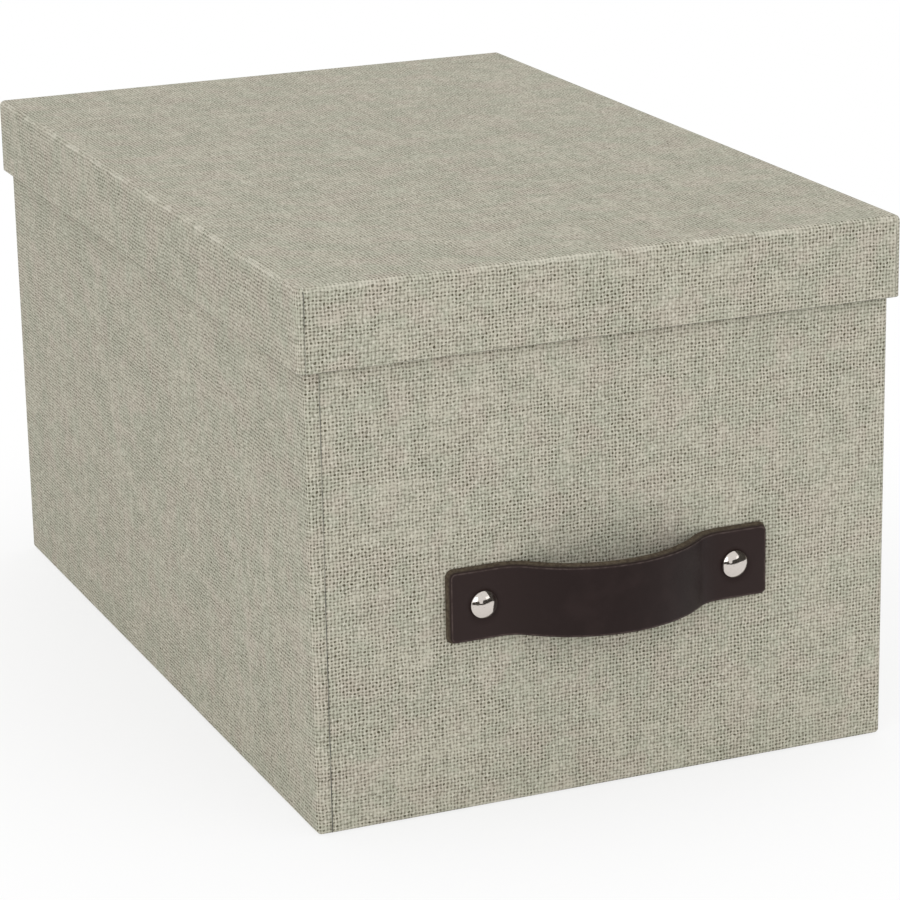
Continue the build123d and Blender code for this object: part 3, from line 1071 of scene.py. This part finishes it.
@dataclass
class BodyCover(Shell):
    """The covering of the body: round four sides, turned in over the rim and turned under the floor.

    Attributes:
        foot_round: Radius of the lower edges.
        foot_gaps: Distance from that round to the next points, inwards and upwards.
        foot_wear: Height to which the foot is fully worn, and the height over which that fades.
        turn_in: How far the paper runs down inside the walls.
        turn_under: How far it runs in under the floor.
        unevenness: Depth of the gentle waves.
        belly: Twice the depth by which the walls swell.
        swell_top: Height up to which they swell, as a share of the whole; the lid covers the rest.
        wave_top: Height at which the unevenness has faded, as a share of the whole.
        foot_fade: How quickly it fades towards the foot.
        top_fade: How quickly it fades towards the top.
    """

    cover: str = "body_cover"
    board: str = "body_front_board"
    corner: float = 1.8 * MM
    joint: float = 5.0 * MM
    wavelength: float = 60 * MM
    seed: int = 11
    lap_blend: float = 4 * MM
    corner_fade: float = 4.0
    foot_round: float = 1.5 * MM
    foot_gaps: Pair = (0.4 * MM, 0.6 * MM)
    foot_wear: Pair = (0.6 * MM, 1.2 * MM)
    turn_in: float = 18.0 * MM
    turn_under: float = 16.0 * MM
    unevenness: float = 0.07 * MM
    belly: float = 0.35 * MM
    swell_top: float = 0.84
    wave_top: float = 0.82
    foot_fade: float = 12.0
    top_fade: float = 9.0

    def profile(self) -> tuple[np.ndarray, int]:
        """The closed section of the paper as (inset, height), and how many of its points lie outside.

        Returns:
            The points from the turned-under edge, out, up and over the rim to the turned-in edge, then back
            against the boards, and the number of points before they turn back.
        """
        foot, rim, paper, lower = self.low.z, self.high.z, self.paper, self.foot_round
        shoulder = rim - self.rim_round - self.rim_gap
        outside = [
            straight_points((self.turn_under, foot), (lower + self.foot_gaps[0], foot), 5),
            curve_points((lower, foot + lower), lower, 270, 180, 9),
            straight_points((0, foot + lower + self.foot_gaps[1]), (0, shoulder), 46),
            *self.rim_profile(rim, 1),
            straight_points((self.wall, shoulder), (self.wall, rim - self.turn_in), 6),
        ]
        inner = self.wall - paper
        inside = [
            straight_points((inner, rim - self.turn_in), (inner, rim - paper), 4),
            straight_points((paper, rim - paper), (paper, foot + lower), 6),
            curve_points((lower, foot + lower), lower - paper, 180, 270, 5)[1:],
            straight_points((lower + 1 * MM, foot + paper), (self.turn_under, foot + paper), 3),
        ]
        return np.concatenate(outside + inside), sum(len(part) for part in outside)

    def build(self) -> bpy.types.Object:
        """Sweep the section round the outline and press the front joint into it.

        The strip that comes round the left corner lies under the front by one lap, up to the joint.

        Returns:
            The covering's object.
        """
        outline = self.outline()
        points, outside = self.profile()
        rows = np.arange(len(points))
        is_outer = (rows < outside) & (points[:, 0] < self.wall / 2) & (points[:, 1] > self.low.z)
        under = np.where(is_outer[:, None], outline.lap_inset(self.lap, self.lap_blend)[None, :], 0.0)
        places = outline.place(points[:, :1] - self.swelling(outline, points, is_outer) + under)
        upper = np.broadcast_to(points[:, 1:2, None], (*places.shape[:2], 1))
        worn_height, fade = self.foot_wear
        worn = 1 - smooth_step((points[:, 1] - self.low.z - worn_height) / fade)
        marks = {EDGE_MAP: worn[:, None], JOINT_AND_SHADE_MAP: is_outer[:, None] * outline.joint_mark()[None, :]}
        whole = np.concatenate([places, upper], axis=2)
        piece = RingMesh(whole, self.sheet(outline, points)).build("body_covering", marks)
        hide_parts(self.cover)
        return piece

    def swelling(self, outline: Outline, points: np.ndarray, is_outer: np.ndarray) -> np.ndarray:
        """How far the walls stand out.

        They swell by half the belly times a half sine wave up the wall and one along it, and wander by
        gentle waves. Both fade towards the corners, the foot and the rim.

        Args:
            outline: The covering seen from above.
            points: Its section.
            is_outer: Which of the section's points lie on the outer face.

        Returns:
            Array of shape (rows, columns).
        """
        height = (points[:, 1] - self.low.z) / (self.high.z - self.low.z)
        fades = smooth_step(height * self.foot_fade) * smooth_step((self.wave_top - height) * self.top_fade)
        upright = np.where(is_outer, fades, 0.0)
        flatness = outline.flatness()
        bulge = np.sin(np.pi * np.clip(height / self.swell_top, 0, 1))
        swell = self.belly * flatness[None, :] * bulge[:, None]
        edges = smooth_step(flatness * self.corner_fade)[None, :]
        return upright[:, None] * (swell * 0.5 + self.unevenness * self.waves(outline, points) * edges)

    @staticmethod
    def sheet(outline: Outline, points: np.ndarray) -> np.ndarray:
        """Flat place of every point on the paper strip: the run round the box and the run up the section."""
        run = np.append(outline.run, outline.run[-1])
        return np.stack(np.broadcast_arrays(run[None, :], run_lengths(points)[:, None]), axis=-1)


@dataclass
class LidCover(Shell):
    """The covering of the lid: top, skirt and the paper turned up inside the skirt.

    Attributes:
        top_round: Radius of the upper edges.
        top_gaps: Distance from that round to the next points, inwards and downwards.
        unevenness: Depth of the skirt's gentle waves.
        skirt_start: Distance from the top at which they start, as a share of the lid's height.
        skirt_fade: How quickly they grow from there.
        painted_fold_shade: How dark the painted shade line along the fold at the rim is.
        top_sag: Depth by which the top sags.
        sag_reach: Distance from the edge over which it does.
        sag_wavelength: Middle length of the unevenness in it.
        sag_seed: Seed of that unevenness.
    """

    cover: str = "lid_cover"
    board: str = "lid_front_board"
    corner: float = 2.3 * MM
    joint: float = 2.6 * MM
    wavelength: float = 45 * MM
    seed: int = 23
    lap_blend: float = 3 * MM
    corner_fade: float = 5.0
    top_round: float = 2.1 * MM
    top_gaps: Pair = (0.8 * MM, 0.6 * MM)
    unevenness: float = 0.09 * MM
    skirt_start: float = 0.08
    skirt_fade: float = 8.0
    # Darkness of the painted shade line along the fold at the rim.
    painted_fold_shade: float = 0.7
    top_sag: float = 0.18 * MM
    sag_reach: float = 18 * MM
    sag_wavelength: float = 90 * MM
    sag_seed: int = 5

    def profile(self) -> tuple[np.ndarray, int]:
        """The section as (inset, height), from the middle of the top, round and back to the middle.

        Returns:
            The points out, down, round the rim to the ceiling and back against the boards, and the number
            of points before they turn back.
        """
        top, foot, paper, upper = self.high.z, self.low.z, self.paper, self.top_round
        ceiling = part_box("lid_top_board")[0].z
        middle = self.high.x
        shoulder = foot + self.rim_round + self.rim_gap
        outside = [
            straight_points((middle, top), (upper + self.top_gaps[0], top), 22),
            curve_points((upper, top - upper), upper, 90, 180, 10),
            straight_points((0, top - upper - self.top_gaps[1]), (0, shoulder), 9),
            *self.rim_profile(foot, -1),
            straight_points((self.wall, shoulder), (self.wall, ceiling), 7),
        ]
        inner = self.wall - paper
        inside = [
            straight_points((inner, ceiling), (inner, foot + paper), 3),
            straight_points((paper, foot + paper), (paper, top - upper), 3),
            curve_points((upper, top - upper), upper - paper, 180, 90, 5)[1:],
            straight_points((upper + 2 * MM, top - paper), (middle, top - paper), 3),
        ]
        return np.concatenate(outside + inside), sum(len(part) for part in outside)

    def build(self) -> bpy.types.Object:
        """Sweep the section round the outline; the top sags a little and the skirt is slightly uneven.

        Both are gentle waves between nothing and their full depth, always inward, and fade at the edges.
        The upper edge is worn most halfway round it, and a painted shade line darkens the paper along its
        fold at the rim.

        Returns:
            The covering's object.
        """
        outline = self.outline()
        points, outside = self.profile()
        inset, level = points[:, 0], points[:, 1]
        top, turn = self.high.z, self.top_round
        is_outside = np.arange(len(points)) < outside
        is_outer = is_outside & (inset < self.wall / 2) & (level < top - turn / 2)
        is_top = is_outside & (level > top - turn / 4)
        drop = (top - level) / (top - self.low.z)
        hollow = self.unevenness * (0.5 + 0.5 * self.waves(outline, points))
        hollow = hollow * smooth_step(outline.flatness() * self.corner_fade)[None, :]
        hollow = hollow * smooth_step((drop - self.skirt_start) * self.skirt_fade)[:, None]
        under = outline.lap_inset(self.lap, self.lap_blend)[None, :]
        places = outline.place(points[:, :1] + np.where(is_outer[:, None], hollow + under, 0.0))
        fullness = smooth_step((inset - turn) / self.sag_reach)[:, None]
        dimple = gentle_waves(places[..., 0], places[..., 1], self.sag_seed, self.sag_wavelength)
        sag = np.where(is_top[:, None], self.top_sag * fullness * (0.5 + 0.5 * dimple), 0.0)
        whole = np.concatenate([places, (points[:, 1:2] - sag)[..., None]], axis=2)
        slope = np.arctan2(level - top + turn, turn - inset)
        on_round = is_outside & (inset < turn) & (drop < 0.1)
        worn = np.where(on_round, np.exp(-(((slope - np.pi / 4) / 0.5) ** 2)), 0.0)
        # Painted shade: a dark line on the rows along the fold at the skirt's rim.
        fold = is_outside & (inset < self.wall / 2) & (level < self.low.z + 0.8 * self.rim_round)
        joint = is_outer[:, None] * outline.joint_mark()[None, :]
        marks = {EDGE_MAP: worn[:, None], JOINT_AND_SHADE_MAP: np.maximum(joint, self.painted_fold_shade * fold[:, None])}
        sheet = self.sheet(outline, points, places)
        piece = RingMesh(whole, sheet, loop=False).build("lid_covering", marks)
        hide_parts(self.cover)
        return piece

    def sheet(self, outline: Outline, points: np.ndarray, places: np.ndarray) -> np.ndarray:
        """Flat place on the one sheet: x and y on the top, and straight on down each side past its edge.

        The corner rounds belong to the long sides, whose paper runs on round them to the front and back.

        Args:
            outline: The covering seen from above.
            points: Its section.
            places: Every point's x and y.

        Returns:
            Array of shape (rows, columns + 1, 2).
        """
        columns = len(outline.run)
        edge = outline.place(np.full(columns, self.top_round))
        in_round = ~outline.is_straight()
        long_side = in_round | (np.abs(outline.facing[:, 0]) > 0.5)
        outward = np.where(long_side[:, None], np.array([1.0, 0.0]), np.array([0.0, 1.0]))
        outward = outward * np.sign(np.where(np.abs(edge) < TINY, 1.0, edge))
        in_lap = np.arange(columns) > np.flatnonzero(in_round)[-1]
        outward[in_lap] = np.array([-1.0, 0.0])
        turned = in_round | in_lap
        side_end = self.high.y - self.corner
        around = outline.place(np.zeros(columns))
        extra = np.abs(around[:, 1]) - side_end + np.abs(self.high.x - np.abs(around[:, 0]))
        base = edge.copy()
        base[turned, 0] = np.sign(edge[turned, 0]) * (self.high.x - self.top_round)
        base[turned, 1] = np.sign(edge[turned, 1]) * (side_end + extra[turned])
        run = run_lengths(points)
        start = run[np.flatnonzero(points[:, 0] <= self.top_round + TINY)[0]]
        beyond = np.maximum(run - start, 0.0)[:, None, None]
        skirt = base[None, :, :] + beyond * outward[None, :, :]
        flat = np.where((run <= start)[:, None, None], places, skirt)
        return np.concatenate([flat, flat[:, -1:, :]], axis=1)


@dataclass
class PullStrap:
    """The leather strap: a rounded strip with burnished edges and a painted highlight along its face's arris,
    bowed out between its two rivets.

    Its edge is cut on a slant, so that the back reaches a little past the face, and past the plain solid.

    Attributes:
        node: CAD node of the strap.
        thickness: Thickness of the leather.
        spread: How far the back reaches past the plain solid, to each side and up and down.
        end_round: Radius of the strip's corners.
        arris_round: Radius of the face's edge.
        back_round: Radius of the back's edge.
        edge_lean: How far the slanted edge leans out.
        foot_bend: Radius of the bend at each foot of the bow, on the face.
        flat_end: Length of each straight end.
        rivet_end: Distance of each rivet from its end.
        press_start: Distance from a rivet's axis up to which the leather is pressed in.
        press_reach: Distance from which on it isn't.
        press_depth: How far it is pressed in.
        crown: Height of the face's middle over its sides.
        step: Largest distance between two columns.
        wear_and_highlight: Distance in from the arris at which the painted highlight is strongest, and its
            reach.
        cut_fade: Depth over which the cut edge loses the face's brown.
        front: Place of the box's front.
        middle_height: Height of the strap's middle line.
        half_width: Half the width of the strip's back.
        bow: How far the strap stands off the front.
        half_span: Half the span of the bow.
        radii: Radii of the crest and of a foot bend together.
        turn: Angle that each of them turns through.
        half_length: Half the length of the strip, laid flat.
    """

    node: str = "pull_strap"
    thickness: float = 2.9 * MM
    spread: Pair = (0.5 * MM, 1.1 * MM)
    end_round: float = 2.8 * MM
    arris_round: float = 0.25 * MM
    back_round: float = 0.30 * MM
    edge_lean: float = 0.85 * MM
    foot_bend: float = 17.0 * MM
    flat_end: float = 18.0 * MM
    rivet_end: float = 12.6 * MM
    press_start: float = 4.4 * MM
    press_reach: float = 7.2 * MM
    press_depth: float = 0.45 * MM
    crown: float = 0.16 * MM
    step: float = 0.7 * MM
    # Place and reach of the painted highlight along the arris.
    wear_and_highlight: Pair = (0.15 * MM, 0.22 * MM)
    cut_fade: float = 1.1 * MM
    front: float = field(init=False)
    middle_height: float = field(init=False)
    half_width: float = field(init=False)
    bow: float = field(init=False)
    half_span: float = field(init=False)
    radii: float = field(init=False)
    turn: float = field(init=False)
    half_length: float = field(init=False)

    def __post_init__(self) -> None:
        """Read the strap's box and work out the bow.

        Half of it is two tangent arcs. Their radii add up to the square of half the span plus the square of
        the bow, over twice the bow, and each turns by the angle whose sine is half the span over that sum.
        """
        low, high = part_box(self.node)
        self.front = high.y
        self.middle_height = (high.z + low.z) / 2
        self.half_width = (high.z - low.z) / 2 + self.spread[1]
        self.bow = high.y - low.y - self.thickness - self.crown
        self.half_span = (high.x - low.x) / 2 + self.spread[0] - self.flat_end
        self.radii = (self.half_span**2 + self.bow**2) / (2 * self.bow)
        self.turn = math.asin(self.half_span / self.radii)
        self.half_length = self.flat_end + self.turn * self.radii

    def section(self) -> np.ndarray:
        """Half the strip's section: the face from the middle line out, the edge, and the back in again.

        The edge is a quarter round, a flat that leans out and a quarter round.

        Returns:
            Points of the inset from the outline and the depth in front of the middle layer.
        """
        wide, half, arris, back = self.half_width, self.thickness / 2, self.arris_round, self.back_round
        edge = self.edge_lean + arris
        return np.concatenate([
            straight_points((wide, half), (edge + 1 * MM, half), 17),
            straight_points((edge + 0.8 * MM, half), (edge, half), 5),
            curve_points((edge, half - arris), arris, 90, 180, 6)[1:-1],
            straight_points((edge - arris, half - arris), (0, back - half), 6)[:-1],
            curve_points((back, back - half), back, 180, 270, 6),
            straight_points((back, -half), (wide, -half), 10)[1:],
        ])

    def build(self) -> bpy.types.Object:
        """Wrap rings of the strip's outline over its face, round its edge and under its back.

        Ring k is the outline of the strip inset by the section's inset k, at the section's depth k.

        Returns:
            The strap's object.
        """
        length, width = self.half_length, self.half_width
        strip = Outline(length, width, self.end_round, length, self.step)
        section = self.section()
        flat = strip.place(np.broadcast_to(section[:, :1], (len(section), len(strip.share))))
        depth = np.broadcast_to(section[:, 1:], flat.shape[:2]).copy()
        depth += self.face_shape(flat, section[:, :1], depth)
        inset, level = section.T
        half = self.thickness / 2
        edge = self.edge_lean + self.arris_round
        # Painted highlight: a thin band just inside the face's arris.
        place, reach = self.wear_and_highlight
        wear_and_highlight = np.exp(-(((inset - edge - place) / reach) ** 2)) * (level > half - 0.05 * MM)
        cut = smooth_step((half - self.arris_round - level) / self.cut_fade) * (inset <= edge)
        marks = {EDGE_MAP: wear_and_highlight[:, None], CUT_MAP: cut[:, None]}
        sheet = np.concatenate([flat, flat[:, :1]], axis=1)
        whole = self.bend(flat[..., 0], flat[..., 1], depth)
        piece = RingMesh(whole, sheet, loop=False).build("leather_strap", marks)
        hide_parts(self.node)
        return piece

    def face_shape(self, flat: np.ndarray, inset: np.ndarray, depth: np.ndarray) -> np.ndarray:
        """Depth added to the front face: a low crown across it, and leather drawn in under each cap.

        The crown is one less the square of the distance from the middle line. Under a cap the face sinks by
        the press depth, easing back to nothing between the press start and the press reach.

        Args:
            flat: Places along and across the flat strip.
            inset: Inset of each ring.
            depth: Depth of each point before this.

        Returns:
            Array of the depth's shape.
        """
        on_face = depth > self.thickness / 2 - 1e-6
        across = np.clip(np.abs(flat[..., 1]) / self.half_width, 0, 1)
        added = self.crown * (1 - across**2) * on_face
        for side in (-1, 1):
            centre = side * (self.half_length - self.rivet_end)
            away = np.hypot(flat[..., 0] - centre, flat[..., 1])
            eased = 1 - smooth_step((away - self.press_start) / (self.press_reach - self.press_start))
            added = added - (self.press_depth + self.crown) * eased * on_face
        return added * smooth_step((inset - self.edge_lean - self.arris_round) / (2 * MM))

    def bend(self, length: np.ndarray, across: np.ndarray, depth: np.ndarray) -> np.ndarray:
        """Bend the flat strip: straight ends, a foot bend and a crest, joined on one tangent.

        Args:
            length: Place along the strip from its middle.
            across: Place across it.
            depth: Distance in front of its middle layer.

        Returns:
            Points in the box's frame.
        """
        foot = self.foot_bend - self.thickness / 2
        crest = self.radii - foot
        crest_depth = self.bow + self.thickness / 2 - crest
        gone = np.abs(length)
        in_crest = gone < crest * self.turn
        crest_angle = np.clip(gone / crest, 0, self.turn)
        foot_angle = np.clip((gone - crest * self.turn) / foot, 0, self.turn)
        past = np.maximum(gone - (crest + foot) * self.turn, 0.0)
        angle = np.where(in_crest, crest_angle, self.turn - foot_angle)
        x_foot = self.half_span - foot * np.sin(angle) + past
        y_foot = self.foot_bend - foot * np.cos(angle)
        x = np.where(in_crest, crest * np.sin(angle), x_foot) + depth * np.sin(angle)
        out = np.where(in_crest, crest_depth + crest * np.cos(angle), y_foot) + depth * np.cos(angle)
        return np.stack([np.sign(length) * x, self.front - out, self.middle_height + across], axis=-1)


@dataclass
class RivetCap:
    """One domed cap, turned from its section: a rolled rim, an upright and a dome.

    Attributes:
        side: Which of the two it is, left or right.
        rim: Height of the rim.
        rim_gap: Height left between the rim's last ring and the dome.
        roll: Radius of the rim's rolled edge.
        sunk: How far the cap sits in the leather.
        axis_gap: Radius of the small rings that the poles are filled from.
        turns: Number of columns.
    """

    side: str
    rim: float = 1.05 * MM
    rim_gap: float = 0.12 * MM
    roll: float = 0.3 * MM
    sunk: float = 0.12 * MM
    axis_gap: float = 0.02 * MM
    turns: int = 72

    def build(self) -> bpy.types.Object:
        """Turn the section round the rivet's axis: x and z are the radius times cosine and sine.

        The dome is part of a sphere whose radius is the squares of the cap's radius and of its rise over
        the rim, over twice the rise.

        Returns:
            The cap's object.
        """
        node = f"rivet_cap_{self.side}"
        low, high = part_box(node)
        centre = (low + high) / 2
        radius = (high.x - low.x) / 2
        height = high.y - low.y
        rise = height - self.rim
        sphere = (radius**2 + rise**2) / (2 * rise)
        spread = math.degrees(math.asin(radius / sphere))
        section = np.concatenate([
            straight_points((self.axis_gap, -self.sunk), (radius - self.roll, -self.sunk), 3),
            curve_points((radius - self.roll, self.roll - self.sunk), self.roll, -90, 0, 5)[1:],
            straight_points((radius, self.roll), (radius, self.rim - self.rim_gap), 4),
            curve_points((0, height - sphere), sphere, 90 - spread, 90, 18)[1:-1],
            np.array([[self.axis_gap, height]]),
        ])
        around = np.radians(np.arange(self.turns) * 360 / self.turns)
        reach = section[:, :1]
        x = centre.x + reach * np.cos(around)
        z = centre.z + reach * np.sin(around)
        y = np.broadcast_to(high.y - section[:, 1:], x.shape)
        sheet = np.zeros((len(section), self.turns + 1, 2))
        rings = RingMesh(np.stack([x, y, z], axis=-1), sheet, loop=False, poles=True)
        piece = rings.build(f"domed_cap_{self.side}")
        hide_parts(node)
        return piece


class Dresser:
    """Gives pieces and CAD nodes their finishes, and rides new pieces on their bodies.

    Attributes:
        materials: The material of each slot.
    """

    def __init__(self) -> None:
        """Build every finish once."""
        finishes = {
            "cover_paper": WovenPaper(),
            "board": PlainPaper("grey_board", (0.36, 0.34, 0.31), (0.22, 0.20, 0.18), 0.4),
            "stay_tape": PlainPaper("gummed_tape", (0.46, 0.34, 0.20), (0.33, 0.23, 0.13), 0.3),
            "lining_paper": PlainPaper("lining_paper", (0.62, 0.59, 0.50), (0.53, 0.49, 0.40), 0.2),
            "underside_paper": PlainPaper("underside_paper", (0.50, 0.47, 0.39), (0.40, 0.37, 0.30), 0.3),
            "strap_leather": StrapLeather(),
            "rivet_metal": PolishedMetal(),
        }
        self.materials = {slot: finish.build() for slot, finish in finishes.items()}

    def dress(self, piece: bpy.types.Object, slot: str) -> None:
        """Give a piece one finish."""
        piece.data.materials.clear()
        piece.data.materials.append(self.materials[slot])

    def new_piece(self, piece: bpy.types.Object, slot: str, body: Body) -> None:
        """Dress a new piece and ride it on its body.

        Args:
            piece: The piece.
            slot: Its finish.
            body: What it moves with.
        """
        self.dress(piece, slot)
        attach(piece, body.value)
        LOG.info("%s: %d faces", piece.name, len(piece.data.polygons))

    def cad_nodes(self) -> None:
        """Dress every CAD node with the finish of its slot in the record."""
        slots = {part["node"]: part["material_slot"] for part in frame["record"]["subparts"]}
        for name, node in frame["nodes"].items():
            self.dress(node, slots[name])


# ---------------------------------------------------------------- studio


@dataclass(frozen=True)
class Lamp:
    """A square soft lamp.

    Attributes:
        name: Its name.
        spot: Its place.
        size: Length of its sides.
        power: Its power in watts.
        target: What it points at, halfway up the box.
    """

    name: str
    spot: Colour
    size: float
    power: float
    target: Colour = (0.0, 0.0, 0.09)

    def hang(self) -> None:
        """Make the lamp and turn it to the box."""
        data = bpy.data.lights.new(self.name, "AREA")
        data.size = self.size
        data.energy = self.power
        lamp = bpy.data.objects.new(self.name, data)
        lamp.location = self.spot
        lamp.rotation_euler = (Vector(self.target) - Vector(self.spot)).to_track_quat("-Z", "Y").to_euler()
        bpy.context.scene.collection.objects.link(lamp)


@dataclass
class Studio:
    """A pale floor, soft lamps, a dark card for the reflections, and the camera.

    Attributes:
        azimuth: The camera's place round the box, in degrees; 0 looks along +Y.
        elevation: Its height above the horizon, in degrees.
        roll: Its turn about its own axis, in degrees.
        distance: Its distance from the point it looks at.
        offset: How far that point stands from the box's middle, to the camera's right and up.
        focal_px: Focal length in the photograph's pixels.
        frame_px: Width of the photograph in pixels.
        sensor: Width of the camera's sensor in millimetres.
        sky: Level of the white surround as light.
        floor_reach: Half the floor's width.
        floor_fade: Distances from the middle between which the shadow fades from the floor.
        floor_levels: Share of plain white in the floor near the box and past the shadow.
        flag_radius: Radius of the dark card.
        flag_turn: Turns at which its outline is given, in degrees; 0 stands straight before the strap.
        flag_foot: Height of its lower edge at each of them.
        flag_top: Height of its upper edge at each of them.
        flag_columns: Number of its columns.
        lamps: The lamps.
    """

    azimuth: float = -22.7
    elevation: float = 17.2
    roll: float = -1.1
    distance: float = 1.2850
    offset: Pair = (12.2 * MM, -19.5 * MM)
    focal_px: float = 3452.0
    frame_px: float = 900.0
    sensor: float = 36.0
    sky: float = 0.83
    floor_reach: float = 6.0
    floor_fade: Pair = (0.12, 0.34)
    floor_levels: Pair = (0.72, 1.0)
    flag_radius: float = 0.6
    flag_turn: tuple[float, ...] = (-75.0, -27.0, -22.0, -8.0, -3.0, 20.0, 46.0, 54.0, 115.0)
    flag_foot: tuple[float, ...] = (0.0, 0.0, 0.0, 0.0, 0.01, 0.04, 0.06, 0.05, 0.0)
    flag_top: tuple[float, ...] = (0.13, 0.24, 0.09, 0.09, 0.26, 0.30, 0.32, 1.20, 1.50)
    flag_columns: int = 191
    lamps: tuple[Lamp, ...] = (
        Lamp("key_lamp", (-1.55, -1.45, 0.9), 1.2, 9.0),
        Lamp("top_lamp", (0.2, 0.3, 2.0), 1.0, 4.5),
        Lamp("fill_lamp", (1.1, -1.3, 0.45), 1.2, 3.3),
    )

    def camera(self) -> None:
        """Place the camera by its angles: back from the target along the line of sight."""
        low, high = CAD_BOUNDS
        target = Vector((0.0, 0.0, (low.z + high.z) / 2))
        a, e, r = (math.radians(angle) for angle in (self.azimuth, self.elevation, self.roll))
        back = Vector((math.sin(a) * math.cos(e), -math.cos(a) * math.cos(e), math.sin(e)))
        right = Vector((math.cos(a), math.sin(a), 0.0))
        up = back.cross(right)
        turned_right = math.cos(r) * right + math.sin(r) * up
        turned_up = math.cos(r) * up - math.sin(r) * right
        data = bpy.data.cameras.new("camera")
        data.sensor_width = self.sensor
        data.lens = self.focal_px / self.frame_px * self.sensor
        data.clip_start, data.clip_end = 0.05, 50.0
        camera = bpy.data.objects.new("camera", data)
        spot = target + turned_right * self.offset[0] + turned_up * self.offset[1] + back * self.distance
        axes = Matrix((turned_right, turned_up, back)).transposed().to_4x4()
        camera.matrix_world = Matrix.Translation(spot) @ axes
        bpy.context.scene.collection.objects.link(camera)
        bpy.context.scene.camera = camera

    def world(self) -> None:
        """A white surround: full white to the eye and in reflections, and a plain level as light."""
        world = bpy.data.worlds.new("surround")
        bpy.context.scene.world = world
        world.use_nodes = True
        chart = Chart(world.node_tree)
        light, eye = (
            chart.node("Background", {"Color": (1.0, 1.0, 1.0), "Strength": strength}).outputs[0]
            for strength in (self.sky, 1.0)
        )
        chart.node("OutputWorld", {"Surface": chart.mix_shaders(chart.seen(), light, eye)})

    @staticmethod
    def prop(name: str, points: np.ndarray, faces: np.ndarray, chart: MaterialChart) -> bpy.types.Object:
        """Make an object that isn't part of the box.

        Args:
            name: Its name.
            points: Its points.
            faces: Numbers of each face's corners.
            chart: The chart of its material.

        Returns:
            The object.
        """
        mesh = bpy.data.meshes.new(name)
        mesh.from_pydata(points.tolist(), [], faces.tolist())
        mesh.materials.append(chart.material)
        piece = bpy.data.objects.new(name, mesh)
        bpy.context.scene.collection.objects.link(piece)
        return piece

    def floor(self) -> None:
        """A wide pale floor that shows plain white, but for the shadow near the box."""
        chart = MaterialChart("studio_floor")
        chart.set(base_color=(0.90, 0.90, 0.90), roughness=1.0, specular_ior_level=0.0)
        x, y, _ = chart.split(chart.object_place())
        squares = chart.calc("ADD", chart.calc("MULTIPLY", x, x), chart.calc("MULTIPLY", y, y))
        white = chart.ramp(chart.calc("SQRT", squares), *self.floor_fade, *self.floor_levels)
        share = chart.calc("MULTIPLY", white, chart.seen())
        glow = chart.node("Emission").outputs[0]
        chart.feed(chart.surface, chart.mix_shaders(share, chart.shader.outputs[0], glow))
        corners = np.array([(-1, -1, 0), (1, -1, 0), (1, 1, 0), (-1, 1, 0)]) * self.floor_reach
        floor = self.prop("studio_floor", corners, np.arange(4)[None, :], chart)

    def flag(self) -> None:
        """Stand a dark curved card before the box, which only reflections show: the band in the caps.

        The card is part of an upright cylinder about the middle of the front: the radius turned from its
        left to its right, between two heights that are read off between the listed turns.
        """
        turn = np.linspace(self.flag_turn[0], self.flag_turn[-1], self.flag_columns)
        x = self.flag_radius * np.sin(np.radians(turn))
        y = CAD_BOUNDS[0].y - self.flag_radius * np.cos(np.radians(turn))
        edges = (np.interp(turn, self.flag_turn, edge) for edge in (self.flag_foot, self.flag_top))
        points = np.concatenate([np.stack([x, y, edge], axis=1) for edge in edges])
        step = np.arange(len(turn) - 1)
        faces = np.stack([step, step + 1, step + len(turn) + 1, step + len(turn)], axis=1)
        chart = MaterialChart("studio_flag")
        chart.set(base_color=(0.07, 0.065, 0.058), roughness=1.0, specular_ior_level=0.0)
        flag = self.prop("studio_flag", points, faces, chart)
        for kind in ("camera", "diffuse", "transmission", "volume_scatter", "shadow"):
            setattr(flag, f"visible_{kind}", False)

    def build(self) -> None:
        """Set up the view, the lights, the floor and the camera."""
        bpy.context.scene.view_settings.view_transform = "Standard"
        self.world()
        self.floor()
        self.flag()
        for lamp in self.lamps:
            lamp.hang()
        self.camera()


def main() -> None:
    logging.basicConfig(level=logging.INFO, format="%(name)s %(message)s")
    dresser = Dresser()
    dresser.cad_nodes()
    dresser.new_piece(BodyCover().build(), "cover_paper", Body.BOX)
    dresser.new_piece(PullStrap().build(), "strap_leather", Body.BOX)
    for side in ("left", "right"):
        dresser.new_piece(RivetCap(side).build(), "rivet_metal", Body.BOX)
    dresser.new_piece(LidCover().build(), "cover_paper", Body.LID)
    Studio().build()


if __name__ == "__main__":
    main()
